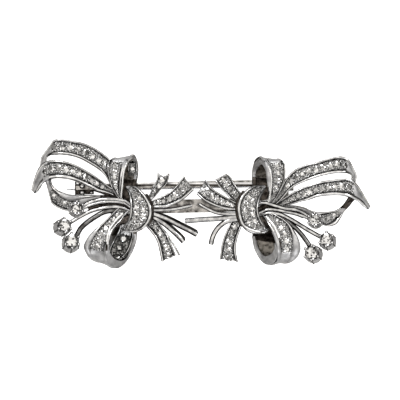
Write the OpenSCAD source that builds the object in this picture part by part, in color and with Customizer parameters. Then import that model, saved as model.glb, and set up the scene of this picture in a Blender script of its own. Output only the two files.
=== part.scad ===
// Double spray brooch: two ribbon and flower sprays set with cut stones, side by side on one pin frame.
// It lies on its back. +Z is towards the viewer, +X to the right, the origin under the middle at the back.

/* [Ribbons] */
// Depth of a ribbon from its rims to its back
ribbon_depth = 1.45; // [1.4:0.05:1.6]
// Thickness of a ribbon's plain stretches
sheet_depth = 0.65; // [0.6:0.05:0.8]
// Depth of the groove that the small stones stand in
groove_depth = 0.85; // [0.8:0.05:0.95]
// Slant of the groove's side walls
groove_wall = 0.18; // [0.1:0.02:0.24]
// Draw-in of a ribbon's back edges
back_draw = 0.2; // [0:0.05:0.3]
// Depth of a crescent knot from its rim to its back
knot_depth = 2.6; // [2.3:0.1:2.9]

/* [Stones] */
// Factor on the diameters of all small stones
stone_scale = 1; // [0.8:0.05:1]
// Depth of a small stone's girdle below the rims
girdle_sink = 0.1; // [0.05:0.05:0.15]
// Table width as a part of the stone's diameter
table_part = 0.56; // [0.5:0.02:0.64]
// Crown height as a part of the stone's diameter
crown_part = 0.16; // [0.12:0.02:0.18]
// Depth below the girdle as a part of the stone's diameter
pavilion_part = 0.42; // [0.38:0.02:0.44]

/* [Claw collets] */
// Height of a collet from its foot to its rim
collet_h = 2.8; // [2.4:0.1:3]
// Foot radius as a part of the rim radius
collet_foot = 0.75; // [0.6:0.05:0.85]
// Radius of a claw's tip
claw_r = 0.2; // [0.16:0.02:0.24]
// Number of claws round a stone
claws = 6; // [4:1:8]

/* [Frame and pin] */
// Turn of the frame against the sprays, in degrees
frame_turn = 1.3; // [0:0.1:2]
// Height of the pin's axis
pin_z = 1.2; // [1.1:0.05:1.2]
// Distance of the pin's axis from the frame's own X axis
pin_y = 3.48; // [3.4:0.02:3.56]
// Radius of the pin's wire
pin_r = 0.4; // [0.35:0.01:0.45]
// Place of the hinge along the frame
hinge_x = 17.4; // [17:0.1:17.6]
// Place of the pin's point along the frame
point_x = -26.9; // [-27.5:0.1:-26.5]
// Lower face of the frame's bars
bar_low = 2.6; // [2.5:0.05:2.7]
// Upper face of the frame's bars
bar_top = 3.6; // [3.5:0.05:3.65]

/* [Hidden] */

// Spacing in rows of a table over which a ribbon's direction is measured
near = 0.05;
// Samples along a row of stones
samples = 40;
// Narrowest floor of a groove
floor_min = 0.2;
// Corners of a ribbon's section and sides of a wire
corners = 8;
wire_sides = 6;
// Corners of a small stone and of a collet stone
small_cut = 8;
main_cut = 12;
// Small gap between pieces
gap = 0.05;
// Foot and top of the back plates that carry the sprays on the frame
plate_low = 3.65;
plate_top = 7.8;
plate_r = 0.8;

// Each ribbon is a table with a row for each section, from its root to its end. The columns are
// left edge x, y, z, right edge x, y, z, groove depth factor, left rim and right rim.
left_wing_upper = [
    [-18.0,  3.4, 7.3, -17.3,  6.2, 7.2, 1.0, 0.40, 0.35],
    [-19.0,  5.4, 7.2, -18.2,  8.8, 6.9, 1.0, 0.45, 0.40],
    [-20.2,  6.8, 7.4, -19.4, 10.0, 6.8, 1.0, 0.50, 0.40],
    [-22.2,  8.1, 7.8, -21.2, 11.2, 7.1, 1.0, 0.50, 0.40],
    [-24.2,  9.2, 8.2, -23.4, 12.2, 7.4, 1.0, 0.50, 0.40],
    [-26.2,  9.8, 8.4, -25.8, 12.7, 7.6, 1.0, 0.50, 0.40],
    [-28.2, 10.0, 8.3, -28.2, 13.0, 7.5, 1.0, 0.50, 0.40],
    [-29.6,  9.9, 7.8, -29.5, 12.8, 7.1, 1.0, 0.50, 0.50],
    [-30.3,  9.7, 7.2, -30.3, 11.7, 6.7, 0.0, 0.50, 0.50],
    [-30.8,  9.4, 6.8, -31.3, 10.4, 6.3, 0.0, 0.40, 0.40],
    [-30.9,  9.0, 6.6, -32.0,  9.3, 6.1, 0.0, 0.40, 0.40],
    [-30.9,  8.6, 6.4, -32.2,  8.2, 5.9, 0.0, 0.40, 0.40],
    [-30.9,  8.0, 6.2, -32.2,  7.0, 5.7, 0.0, 0.40, 0.40]
];
left_wing_lower = [
    [-16.6,  1.2, 6.9, -16.4,  2.3, 6.8, 0.8, 0.30, 0.20],
    [-17.8,  1.8, 6.9, -17.5,  3.0, 6.7, 1.0, 0.35, 0.25],
    [-19.0,  2.2, 7.0, -18.6,  3.7, 6.7, 1.0, 0.40, 0.25],
    [-20.6,  2.6, 7.2, -20.0,  4.8, 6.8, 1.0, 0.55, 0.30],
    [-22.2,  3.4, 7.6, -21.4,  5.8, 7.0, 1.0, 0.60, 0.35],
    [-24.0,  4.3, 8.1, -23.4,  7.0, 7.3, 1.0, 0.65, 0.40],
    [-25.8,  4.9, 8.3, -25.4,  8.0, 7.5, 1.0, 0.70, 0.40],
    [-27.8,  5.2, 8.3, -27.4,  8.6, 7.5, 1.0, 0.75, 0.45],
    [-29.6,  5.2, 7.9, -29.4,  8.8, 7.1, 1.0, 0.80, 0.45],
    [-31.0,  4.8, 7.3, -31.0,  8.6, 6.5, 1.0, 0.90, 0.60],
    [-31.9,  4.0, 6.6, -32.3,  7.6, 5.9, 0.6, 0.90, 0.80],
    [-32.5,  3.0, 5.8, -33.1,  6.0, 5.2, 0.0, 0.80, 0.80],
    [-32.8,  2.4, 5.2, -33.7,  4.1, 4.8, 0.0, 0.60, 0.60],
    [-33.3,  2.1, 4.7, -34.0,  2.8, 4.4, 0.0, 0.40, 0.40]
];
left_under = [
    [-29.8,  5.6, 6.3, -31.5,  5.2, 6.2, 0.0, 0.80, 0.40],
    [-29.9,  4.4, 5.4, -31.0,  4.0, 5.3, 0.0, 0.60, 0.30],
    [-29.5,  3.5, 4.9, -30.7,  2.8, 4.8, 0.0, 0.60, 0.30],
    [-28.7,  2.8, 4.7, -30.3,  1.3, 4.6, 0.9, 0.60, 0.30],
    [-27.8,  2.4, 4.8, -29.9,  0.1, 4.6, 1.0, 0.90, 0.35],
    [-26.6,  2.0, 5.0, -28.6, -0.8, 4.8, 1.0, 1.20, 0.35],
    [-25.2,  1.8, 5.2, -26.6, -1.4, 4.9, 1.0, 1.30, 0.35],
    [-23.6,  1.8, 5.3, -24.2, -1.0, 5.0, 0.0, 0.80, 0.35],
    [-21.8,  1.8, 5.2, -22.0,  0.2, 5.0, 0.0, 0.50, 0.35],
    [-19.8,  1.8, 5.1, -19.8,  0.8, 5.0, 0.0, 0.35, 0.35],
    [-17.6,  1.7, 5.3, -17.6,  0.8, 5.2, 0.0, 0.30, 0.30],
    [-15.2,  1.2, 5.4, -15.2,  0.4, 5.3, 0.0, 0.30, 0.30],
    [-13.4,  0.9, 5.5, -13.4,  0.1, 5.4, 0.0, 0.30, 0.30]
];
left_top_loop = [
    [-14.4, -1.0, 7.0, -13.7, -0.7, 6.9, 0.3, 0.20, 0.20],
    [-15.6,  0.2, 7.3, -14.8,  0.0, 7.2, 0.3, 0.20, 0.20],
    [-16.3,  0.9, 7.5, -15.6,  1.0, 7.4, 0.8, 0.20, 0.20],
    [-17.2,  2.0, 7.9, -16.1,  2.4, 7.7, 1.0, 0.25, 0.25],
    [-18.0,  3.4, 8.5, -16.0,  3.6, 8.2, 1.0, 0.35, 0.40],
    [-18.4,  5.2, 9.0, -15.8,  5.0, 8.7, 1.0, 0.40, 0.55],
    [-18.7,  7.0, 9.2, -15.3,  6.7, 9.0, 1.0, 0.45, 0.80],
    [-18.5,  8.4, 8.7, -14.8,  8.1, 8.7, 0.3, 0.60, 0.90],
    [-17.7,  9.1, 7.3, -14.1,  9.3, 7.3, 0.0, 0.60, 0.60],
    [-16.6,  9.0, 5.3, -13.3,  9.9, 5.1, 0.0, 0.60, 0.60],
    [-15.9,  8.2, 3.0, -12.7,  8.7, 2.8, 0.0, 0.60, 0.60],
    [-15.6,  7.0, 1.8, -12.5,  7.1, 1.6, 0.0, 0.60, 0.60],
    [-15.6,  5.6, 3.1, -12.6,  5.6, 3.0, 0.0, 0.60, 0.60],
    [-15.6,  4.2, 4.4, -12.9,  4.0, 4.4, 0.0, 0.60, 0.60],
    [-15.4,  2.6, 4.8, -13.4,  2.4, 4.8, 0.0, 0.60, 0.60]
];
left_bottom_loop = [
    [-13.2, -0.7, 6.8, -14.4,  0.2, 6.8, 0.0, 0.30, 0.30],
    [-14.8, -1.8, 7.3, -16.6, -0.8, 7.2, 1.0, 0.30, 0.30],
    [-15.9, -3.3, 8.0, -18.2, -2.3, 7.7, 1.0, 0.50, 0.30],
    [-17.0, -4.5, 8.6, -19.6, -3.7, 8.2, 1.0, 0.60, 0.35],
    [-17.8, -5.8, 9.0, -21.2, -5.4, 8.5, 1.0, 0.70, 0.80],
    [-18.2, -7.4, 9.1, -22.8, -6.9, 8.5, 1.0, 0.80, 1.50],
    [-18.4, -9.0, 8.6, -23.5, -8.5, 8.0, 1.0, 0.90, 1.70],
    [-18.6, -10.6, 7.2, -23.1, -9.8, 6.8, 0.2, 0.90, 1.40],
    [-18.4, -12.0, 5.2, -21.8, -10.8, 5.2, 0.0, 0.90, 0.90],
    [-17.2, -12.9, 3.1, -20.5, -11.5, 3.3, 0.0, 0.90, 0.90],
    [-15.4, -12.1, 1.4, -19.4, -11.6, 1.6, 0.0, 0.90, 0.90],
    [-14.1, -10.4, 0.6, -18.6, -10.6, 0.7, 0.0, 0.90, 0.90],
    [-13.3, -8.6, 0.4, -18.0, -9.2, 0.4, 0.0, 0.90, 0.90],
    [-12.8, -6.8, 0.8, -17.4, -7.2, 0.8, 0.0, 0.90, 0.90],
    [-12.9, -5.0, 2.2, -16.8, -5.2, 2.2, 0.0, 0.60, 0.60],
    [-13.5, -3.4, 4.0, -16.2, -3.2, 4.0, 0.0, 0.60, 0.60]
];
left_bottom_back = [
    [-13.8, -4.0, 4.6, -16.2, -3.8, 4.6, 0.0, 0.40, 0.40],
    [-13.5, -5.4, 3.4, -16.8, -5.6, 3.4, 0.6, 0.40, 0.40],
    [-13.5, -7.0, 2.4, -17.2, -7.4, 2.4, 1.0, 0.50, 0.50],
    [-14.0, -8.6, 2.0, -17.8, -9.2, 2.0, 1.0, 0.50, 0.50],
    [-14.8, -10.1, 2.1, -18.4, -10.4, 2.1, 1.0, 0.50, 0.50],
    [-16.0, -11.2, 2.7, -19.0, -11.0, 2.7, 0.6, 0.50, 0.50]
];
left_knot = [
    [-14.6,  3.8, 7.6, -15.2,  3.3, 7.6, 0.0, 0.20, 0.20],
    [-12.8,  3.4, 8.5, -14.7,  2.6, 8.5, 0.6, 0.50, 0.30],
    [-11.4,  2.2, 9.2, -14.4,  1.6, 9.3, 1.0, 0.60, 0.45],
    [-10.4,  0.8, 9.6, -14.2,  0.4, 9.8, 1.0, 0.55, 0.50],
    [ -9.8, -0.8, 9.7, -14.2, -1.0, 10.0, 1.0, 0.50, 0.50],
    [ -9.8, -2.4, 9.6, -14.3, -2.2, 9.8, 1.0, 0.55, 0.50],
    [-10.5, -4.0, 9.2, -14.7, -3.3, 9.3, 1.0, 0.60, 0.50],
    [-12.0, -5.3, 8.6, -15.3, -4.2, 8.7, 1.0, 0.60, 0.40],
    [-14.0, -5.8, 8.0, -15.8, -4.8, 8.1, 0.5, 0.40, 0.30],
    [-16.0, -5.3, 7.6, -16.3, -5.0, 7.6, 0.0, 0.20, 0.20]
];
left_fork = [
    [-11.2,  1.0, 6.3, -10.2,  0.4, 6.3, 0.0, 0.20, 0.20],
    [-10.4,  1.8, 6.4,  -9.0,  1.6, 6.3, 0.6, 0.25, 0.25],
    [ -9.9,  2.9, 6.7,  -8.0,  2.8, 6.5, 1.0, 0.30, 0.30],
    [ -9.3,  3.9, 6.9,  -6.8,  4.1, 6.6, 1.0, 0.30, 0.35],
    [ -8.8,  5.2, 6.8,  -6.3,  5.4, 6.5, 1.0, 0.30, 0.35],
    [ -8.8,  6.5, 6.5,  -6.3,  6.3, 6.2, 0.8, 0.30, 0.35]
];
left_broad = [
    [-11.2,  0.5, 6.9, -11.2, -0.8, 7.0, 0.5, 0.30, 0.30],
    [-10.2,  0.7, 7.0, -10.2, -0.8, 7.2, 1.0, 0.30, 0.35],
    [ -8.6,  1.2, 7.1,  -8.6, -0.7, 7.5, 1.0, 0.30, 0.50],
    [ -7.2,  1.8, 7.2,  -7.0, -0.4, 7.6, 1.0, 0.35, 0.60],
    [ -5.8,  2.6, 7.2,  -5.4,  0.2, 7.6, 1.0, 0.35, 0.60],
    [ -4.6,  3.9, 7.0,  -3.8,  1.1, 7.4, 1.0, 0.35, 0.60],
    [ -3.4,  5.7, 6.4,  -1.4,  2.8, 6.8, 1.0, 0.35, 0.60]
];
left_lower = [
    [ -9.6, -2.2, 6.2, -11.3, -3.0, 6.2, 0.0, 0.30, 0.30],
    [ -8.6, -3.4, 6.4, -11.0, -4.4, 6.4, 0.8, 0.35, 0.50],
    [ -7.6, -4.8, 6.7, -10.2, -5.4, 6.6, 1.0, 0.35, 0.60],
    [ -6.7, -6.2, 6.7,  -9.3, -6.6, 6.6, 1.0, 0.35, 0.60],
    [ -6.0, -7.8, 6.5,  -8.7, -7.9, 6.4, 1.0, 0.35, 0.60],
    [ -5.5, -9.0, 6.1,  -8.3, -9.6, 6.0, 1.0, 0.35, 0.60],
    [ -5.0, -10.3, 5.6,  -7.9, -11.6, 5.5, 1.0, 0.35, 0.60]
];

right_wing_upper = [
    [ 11.2,  0.6, 6.4,  11.4, -0.6, 6.4, 0.0, 0.25, 0.25],
    [ 12.8,  0.8, 6.4,  13.2, -0.5, 6.4, 0.0, 0.25, 0.25],
    [ 14.4,  1.0, 6.6,  15.0, -0.1, 6.7, 0.4, 0.25, 0.25],
    [ 15.7,  2.6, 6.7,  16.5,  1.4, 6.9, 1.0, 0.25, 0.25],
    [ 16.7,  4.6, 6.8,  17.6,  2.7, 7.1, 1.0, 0.30, 0.30],
    [ 17.9,  6.2, 6.9,  18.9,  3.7, 7.4, 1.0, 0.40, 0.35],
    [ 19.4,  7.3, 7.2,  20.4,  4.4, 7.8, 1.0, 0.40, 0.40],
    [ 21.2,  8.0, 7.5,  22.0,  5.0, 8.1, 1.0, 0.40, 0.50],
    [ 23.0,  8.4, 7.7,  23.8,  5.6, 8.3, 1.0, 0.40, 0.50],
    [ 25.0,  9.0, 7.7,  25.6,  6.0, 8.3, 1.0, 0.40, 0.55],
    [ 27.0,  9.5, 7.5,  27.3,  6.2, 8.1, 1.0, 0.40, 0.60],
    [ 28.5,  9.5, 7.2,  28.6,  6.2, 7.8, 1.0, 0.50, 0.60],
    [ 29.7,  8.8, 6.8,  29.3,  6.1, 7.4, 0.2, 0.60, 0.50],
    [ 30.6,  7.1, 6.4,  29.9,  5.8, 7.0, 0.0, 0.40, 0.40],
    [ 31.2,  5.7, 6.1,  30.3,  5.3, 6.7, 0.0, 0.40, 0.40],
    [ 31.0,  4.4, 6.0,  30.1,  4.6, 6.5, 0.0, 0.40, 0.40]
];
right_wing_lower = [
    [ 10.8, -0.6, 5.8,  11.0, -1.5, 5.8, 0.0, 0.20, 0.20],
    [ 12.8, -0.1, 5.7,  13.4, -1.0, 5.7, 0.0, 0.20, 0.20],
    [ 15.0,  0.2, 5.9,  15.8, -0.6, 5.9, 0.5, 0.20, 0.20],
    [ 16.6,  1.2, 6.3,  17.8, -0.2, 6.4, 1.0, 0.25, 0.30],
    [ 18.4,  2.4, 6.7,  19.8,  0.4, 7.0, 1.0, 0.30, 0.40],
    [ 20.2,  3.3, 7.0,  21.4,  0.8, 7.6, 1.0, 0.35, 0.50],
    [ 22.2,  4.0, 7.4,  23.0,  1.4, 8.0, 1.0, 0.40, 0.55],
    [ 24.2,  4.6, 7.6,  24.8,  1.7, 8.2, 1.0, 0.40, 0.60],
    [ 26.4,  4.9, 7.6,  26.8,  1.8, 8.2, 1.0, 0.40, 0.65],
    [ 28.4,  5.1, 7.3,  28.6,  1.7, 7.9, 1.0, 0.40, 0.70],
    [ 30.0,  5.0, 6.8,  30.0,  1.3, 7.4, 1.0, 0.50, 0.80],
    [ 31.2,  4.1, 6.2,  31.3,  0.6, 6.7, 0.8, 0.80, 0.90],
    [ 32.2,  2.6, 5.4,  32.3, -0.1, 5.9, 0.0, 0.80, 0.80],
    [ 33.2,  0.9, 4.8,  33.0, -0.8, 5.1, 0.0, 0.50, 0.50],
    [ 34.0, -0.5, 4.4,  33.5, -1.1, 4.6, 0.0, 0.30, 0.30]
];
right_under = [
    [ 31.2,  1.2, 6.1,  29.7,  1.5, 6.2, 0.0, 0.30, 0.50],
    [ 30.5,  0.5, 5.3,  29.0,  0.6, 5.4, 0.0, 0.30, 0.50],
    [ 29.6, -0.6, 4.8,  28.1, -0.5, 4.9, 0.0, 0.30, 0.50],
    [ 28.6, -1.7, 4.6,  27.0, -1.2, 4.7, 0.2, 0.30, 0.50],
    [ 27.9, -3.0, 4.6,  25.6, -1.5, 4.8, 1.0, 0.60, 0.50],
    [ 27.0, -4.1, 4.8,  24.2, -1.6, 5.0, 1.0, 0.80, 0.60],
    [ 25.4, -4.5, 5.0,  23.0, -1.6, 5.2, 1.0, 0.50, 0.80],
    [ 23.6, -3.8, 5.1,  21.6, -1.1, 5.3, 0.0, 0.40, 0.60],
    [ 21.4, -2.1, 5.1,  20.4, -0.6, 5.3, 0.0, 0.40, 0.40],
    [ 19.4, -1.2, 5.2,  19.0, -0.3, 5.3, 0.0, 0.30, 0.30],
    [ 17.4, -0.9, 5.2,  17.4, -0.2, 5.3, 0.0, 0.30, 0.30],
    [ 15.4, -0.9, 5.3,  15.4, -0.2, 5.3, 0.0, 0.30, 0.30],
    [ 12.8, -1.0, 5.4,  12.8, -0.3, 5.4, 0.0, 0.30, 0.30],
    [ 10.6, -1.3, 5.6,  10.6, -0.5, 5.6, 0.0, 0.30, 0.30]
];
right_top_loop = [
    [ 10.9, -0.9, 6.8,  11.6, -1.5, 6.8, 0.3, 0.20, 0.20],
    [ 12.4, -0.1, 7.1,  13.3, -0.6, 7.0, 0.3, 0.20, 0.20],
    [ 13.8,  0.9, 7.5,  14.8,  0.8, 7.3, 0.9, 0.25, 0.20],
    [ 13.9,  2.4, 8.0,  15.9,  2.7, 7.8, 1.0, 0.40, 0.25],
    [ 14.1,  4.4, 8.6,  16.7,  4.6, 8.5, 1.0, 0.45, 0.40],
    [ 13.9,  6.2, 9.0,  16.9,  6.4, 9.0, 1.0, 0.45, 0.50],
    [ 13.4,  7.7, 9.0,  16.8,  7.9, 8.9, 0.7, 0.50, 0.60],
    [ 12.6,  8.9, 7.9,  16.1,  8.8, 7.8, 0.0, 0.60, 0.60],
    [ 11.6,  9.5, 6.0,  14.9,  8.9, 6.0, 0.0, 0.60, 0.60],
    [ 10.7,  8.8, 3.8,  14.0,  8.3, 3.8, 0.0, 0.60, 0.60],
    [ 10.3,  7.3, 1.9,  13.5,  7.0, 1.9, 0.0, 0.60, 0.60],
    [ 10.1,  5.9, 3.0,  13.3,  5.7, 3.0, 0.0, 0.60, 0.60],
    [ 10.2,  4.5, 4.5,  13.1,  4.2, 4.5, 0.0, 0.60, 0.60],
    [ 10.4,  2.8, 4.8,  12.6,  2.6, 4.8, 0.0, 0.60, 0.60]
];
right_bottom_loop = [
    [ 12.2, -1.2, 6.8,  10.8, -1.8, 6.8, 0.0, 0.30, 0.30],
    [ 14.2, -1.8, 7.2,  12.2, -2.3, 7.3, 1.0, 0.30, 0.30],
    [ 16.0, -2.7, 7.7,  13.0, -3.5, 8.0, 1.0, 0.35, 0.50],
    [ 17.6, -3.9, 8.2,  13.9, -5.1, 8.6, 1.0, 0.40, 0.80],
    [ 18.9, -5.7, 8.5,  14.6, -6.7, 9.0, 1.0, 0.80, 0.90],
    [ 19.7, -7.5, 8.5,  15.0, -8.2, 9.1, 1.0, 1.30, 0.90],
    [ 19.9, -9.2, 7.9,  15.1, -9.5, 8.5, 1.0, 1.60, 0.90],
    [ 19.3, -10.7, 6.6,  15.1, -10.6, 7.1, 0.4, 1.50, 0.90],
    [ 18.0, -11.7, 5.0,  14.5, -11.6, 5.3, 0.0, 0.90, 0.90],
    [ 16.4, -11.8, 3.2,  13.3, -12.2, 3.3, 0.0, 0.90, 0.90],
    [ 15.2, -11.3, 1.5,  11.9, -11.2, 1.5, 0.0, 0.90, 0.90],
    [ 14.6, -10.3, 0.7,  11.0, -9.7, 0.6, 0.0, 0.90, 0.90],
    [ 14.2, -8.9, 0.4,  10.5, -8.1, 0.4, 0.0, 0.90, 0.90],
    [ 13.8, -7.2, 0.9,  10.3, -6.4, 0.9, 0.0, 0.90, 0.90],
    [ 13.4, -5.2, 2.4,  10.4, -4.8, 2.4, 0.0, 0.60, 0.60],
    [ 12.6, -3.3, 4.3,  10.4, -3.1, 4.3, 0.0, 0.60, 0.60]
];
right_knot = [
    [ 13.2,  3.4, 7.6,  12.6,  3.8, 7.6, 0.0, 0.20, 0.20],
    [ 12.6,  2.6, 8.5,  10.6,  3.7, 8.5, 0.6, 0.30, 0.50],
    [ 12.0,  1.4, 9.3,   8.9,  2.8, 9.2, 1.0, 0.45, 0.60],
    [ 11.6,  0.2, 9.8,   7.8,  1.4, 9.6, 1.0, 0.50, 0.55],
    [ 11.5, -1.0, 10.0,   7.2, -0.4, 9.7, 1.0, 0.50, 0.50],
    [ 11.7, -2.3, 9.8,   7.4, -2.5, 9.6, 1.0, 0.50, 0.55],
    [ 12.2, -3.4, 9.3,   8.2, -4.5, 9.2, 1.0, 0.50, 0.60],
    [ 12.8, -4.3, 8.7,   9.8, -5.8, 8.6, 1.0, 0.40, 0.60],
    [ 13.3, -4.9, 8.1,  11.7, -6.0, 8.0, 0.5, 0.30, 0.40],
    [ 13.7, -5.2, 7.6,  13.2, -5.5, 7.6, 0.0, 0.20, 0.20]
];
right_fork = [
    [  7.6,  0.2, 6.3,   8.8,  1.0, 6.3, 0.0, 0.20, 0.20],
    [  6.0,  1.4, 6.5,   7.8,  2.0, 6.4, 0.8, 0.30, 0.25],
    [  5.1,  2.3, 6.7,   7.1,  3.2, 6.5, 1.0, 0.35, 0.30],
    [  4.1,  3.2, 6.8,   6.3,  4.2, 6.6, 1.0, 0.35, 0.30],
    [  3.3,  4.1, 6.7,   5.8,  5.3, 6.5, 1.0, 0.35, 0.30],
    [  2.7,  4.9, 6.4,   5.1,  6.2, 6.2, 1.0, 0.35, 0.30]
];
right_broad = [
    [  8.5, -1.3, 7.1,   8.5,  0.2, 7.0, 0.5, 0.30, 0.30],
    [  7.0, -1.2, 7.3,   7.0,  0.4, 7.1, 1.0, 0.35, 0.30],
    [  5.4, -0.9, 7.5,   5.6,  0.8, 7.1, 1.0, 0.45, 0.30],
    [  3.8, -0.5, 7.6,   4.2,  1.6, 7.2, 1.0, 0.50, 0.35],
    [  2.2,  0.0, 7.6,   2.9,  2.5, 7.2, 1.0, 0.55, 0.35],
    [  0.6,  0.7, 7.4,   1.8,  3.5, 7.0, 1.0, 0.55, 0.35],
    [ -0.9,  2.0, 6.8,   0.9,  5.0, 6.4, 1.0, 0.55, 0.35]
];
right_lower = [
    [  9.2, -2.8, 6.2,   7.4, -2.4, 6.2, 0.0, 0.30, 0.30],
    [  8.4, -4.0, 6.4,   6.0, -3.5, 6.4, 0.8, 0.35, 0.35],
    [  7.8, -5.4, 6.6,   5.3, -4.9, 6.7, 1.0, 0.40, 0.35],
    [  7.3, -6.9, 6.6,   4.6, -6.5, 6.7, 1.0, 0.45, 0.35],
    [  7.0, -8.6, 6.4,   4.1, -8.2, 6.5, 1.0, 0.50, 0.35],
    [  7.1, -10.1, 6.0,   3.9, -9.7, 6.1, 1.0, 0.50, 0.35],
    [  7.4, -11.6, 5.5,   3.7, -11.1, 5.6, 1.0, 0.50, 0.35]
];

// Each stem and wire is a table of its centre line: x, y, z.
left_stems = [
    [[-13.0, -1.4, 6.9], [-14.6, -0.4, 7.0], [-16.2, 0.4, 7.2], [-18.2, 0.7, 7.4], [-20.2, 0.5, 7.2], [-21.8, 0.1, 6.9],
     [-23.3, -0.5, 6.7], [-24.4, -0.9, 6.6]],
    [[-13.0, -1.8, 6.7], [-14.6, -1.2, 6.8], [-16.2, -0.6, 7.0], [-18.2, -0.6, 7.2], [-20.2, -0.9, 7.1], [-22.2, -1.5, 6.9],
     [-24.2, -2.5, 6.7], [-26.0, -3.6, 6.6], [-27.0, -4.2, 6.5]],
    [[-13.0, -2.2, 6.4], [-14.6, -1.7, 6.5], [-15.8, -1.3, 6.6], [-17.8, -1.3, 6.8], [-19.6, -1.7, 7.0], [-21.2, -2.6, 6.9],
     [-22.8, -3.7, 6.8], [-24.0, -4.8, 6.7], [-24.7, -6.0, 6.6], [-25.3, -7.2, 6.5]]
];
left_stem_r = [0.45, 0.4, 0.48];
left_wires = [
    [[-10.6, -1.3, 6.6], [-8.2, -1.2, 6.5], [-6.2, -1.1, 6.2], [-4.2, -0.8, 5.9], [-1.8, -0.3, 5.6]],
    [[-10.6, -1.6, 6.4], [-7.0, -2.9, 6.3], [-4.2, -4.3, 6.0], [-2.2, -5.3, 5.7], [-0.8, -6.1, 5.4]],
    [[-10.6, -2.0, 6.05], [-7.8, -3.6, 6.1], [-6.0, -5.0, 6.0], [-4.4, -6.5, 5.7], [-3.5, -7.5, 5.4]],
    [[-9.2, -3.4, 5.7], [-7.0, -5.8, 5.4], [-5.6, -7.9, 5.2], [-4.3, -10.3, 4.9]]
];
left_wire_r = [0.3, 0.5, 0.48, 0.18];
right_stems = [
    [[10.2, -0.4, 6.9], [11.6, 0.1, 7.0], [13.0, 0.2, 7.2], [15.0, -0.4, 7.4], [17.0, -0.9, 7.2], [19.2, -1.2, 7.0],
     [21.0, -2.1, 6.7], [22.2, -2.9, 6.6]],
    [[10.2, -2.3, 6.7], [11.8, -1.7, 6.8], [13.4, -1.1, 7.0], [15.2, -1.2, 7.1], [17.2, -1.6, 7.0], [19.2, -2.0, 6.8],
     [21.0, -2.6, 6.5], [22.2, -3.3, 6.3]],
    [[10.2, -2.6, 6.4], [12.0, -2.1, 6.6], [13.8, -1.8, 6.9], [15.8, -2.1, 7.1], [17.8, -3.0, 7.0], [19.8, -4.2, 6.9],
     [21.6, -5.3, 6.7], [23.6, -6.4, 6.5], [24.7, -6.9, 6.5]],
    [[10.2, -2.0, 6.2], [12.2, -1.8, 6.3], [14.2, -2.0, 6.5], [16.2, -2.8, 6.7], [18.0, -4.0, 6.8], [19.6, -5.5, 6.7],
     [20.8, -7.0, 6.6], [21.7, -8.4, 6.5], [22.0, -9.5, 6.4]]
];
right_stem_r = [0.4, 0.38, 0.45, 0.48];
right_wires = [
    [[8.2, -2.0, 6.6], [5.0, -2.0, 6.5], [3.0, -1.7, 6.3], [1.2, -0.9, 6.0], [-0.3, 0.0, 5.6]],
    [[8.2, -2.5, 6.4], [3.8, -2.9, 6.3], [0.4, -3.1, 6.2], [-3.2, -3.4, 6.0]],
    [[8.2, -2.9, 6.2], [5.6, -3.3, 6.2], [4.1, -4.1, 6.0], [3.0, -5.3, 5.8], [2.3, -6.7, 5.6],
     [2.0, -8.1, 5.4]]
];
right_wire_r = [0.32, 0.5, 0.45];

// Each claw collet: rim centre x, y, z, rim radius, and the foot's shift in x and y.
left_collets = [
    [-24.8, -0.8, 8.3, 1.4, -0.3, -0.4],
    [-27.2, -4.2, 8.3, 1.55, -0.9, -0.7],
    [-25.8, -7.3, 8.2, 1.65, -0.4, -0.9]
];
right_collets = [
    [22.7, -3.1, 8.3, 1.4, 0.3, -0.4],
    [25.0, -7.0, 8.3, 1.55, 0.5, -0.7],
    [22.1, -9.7, 8.2, 1.65, 0.6, -0.5]
];
// Wall of a collet's rim, and the stone's radius as a part of the rim's
collet_wall = 0.28;
main_part = 0.68;

// Corners of the back plates under the knots
left_plate = [[-13.7, 1.9], [-11.4, 0.8], [-10.9, -2.2], [-13.0, -3.8], [-13.9, -1.2]];
right_plate = [[11.2, 1.9], [8.8, 0.8], [8.4, -2.4], [10.6, -3.9], [11.4, -1.2]];

function mix(a, b, f) = a + (b - a) * f;
function unit(v) = v / norm(v);

// A smooth curve through the rows of a table, with t counted in rows
function row_at(rows, t) =
    let (
        last = len(rows) - 1,
        k = max(0, min(floor(t), last - 1)),
        f = t - k,
        before = rows[max(k - 1, 0)],
        here = rows[k],
        next = rows[k + 1],
        after = rows[min(k + 2, last)],
        bend = 2 * before - 5 * here + 4 * next - after,
        twist = 3 * (here - next) + after - before
    )
    here + 0.5 * f * (next - before + f * (bend + f * twist));

function left_edge(row) = [row[0], row[1], row[2]];
function right_edge(row) = [row[3], row[4], row[5]];
function middle(row) = (left_edge(row) + right_edge(row)) / 2;
function forward_at(rows, t) =
    unit(middle(row_at(rows, min(t + near, len(rows) - 1))) - middle(row_at(rows, max(t - near, 0))));
function face_at(rows, t) =
    let (row = row_at(rows, t))
    unit(cross(right_edge(row) - left_edge(row), forward_at(rows, t)));

// Left rim, right rim and wall of the groove at t, drawn in where the ribbon is narrow
function groove_at(row) =
    let (
        width = norm(right_edge(row) - left_edge(row)),
        squeeze = min(1, width / (row[7] + row[8] + 2 * groove_wall + floor_min))
    )
    [row[7] * squeeze, row[8] * squeeze, groove_wall * squeeze, width, squeeze];

// Travelled length against place in the table, for lookup()
function travelled(rows, first, last, across) =
    let (step = (last - first) / samples)
    [for (i = 0, s = 0; i <= samples;
        s = s + norm(across_at(rows, first + step * (i + 1), across) - across_at(rows, first + step * i, across)),
        i = i + 1) [s, first + step * i]];
function across_at(rows, t, across) =
    let (row = row_at(rows, t))
    mix(left_edge(row), right_edge(row), across);

// An even row of stones, each as place in the table, place across the groove from 0 to 1 and diameter
function stone_row(rows, first, last, count, d_first, d_last, across = 0.5) =
    let (
        lengths = travelled(rows, first, last, across),
        whole = lengths[samples][0],
        mean = (d_first + d_last) / 2
    )
    [for (i = [0 : count - 1])
        let (f = i / (count - 1), g = (d_first * f + (d_last - d_first) * f * f / 2) / mean)
        [lookup(whole * g, lengths), across, mix(d_first, d_last, f)]];

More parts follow.
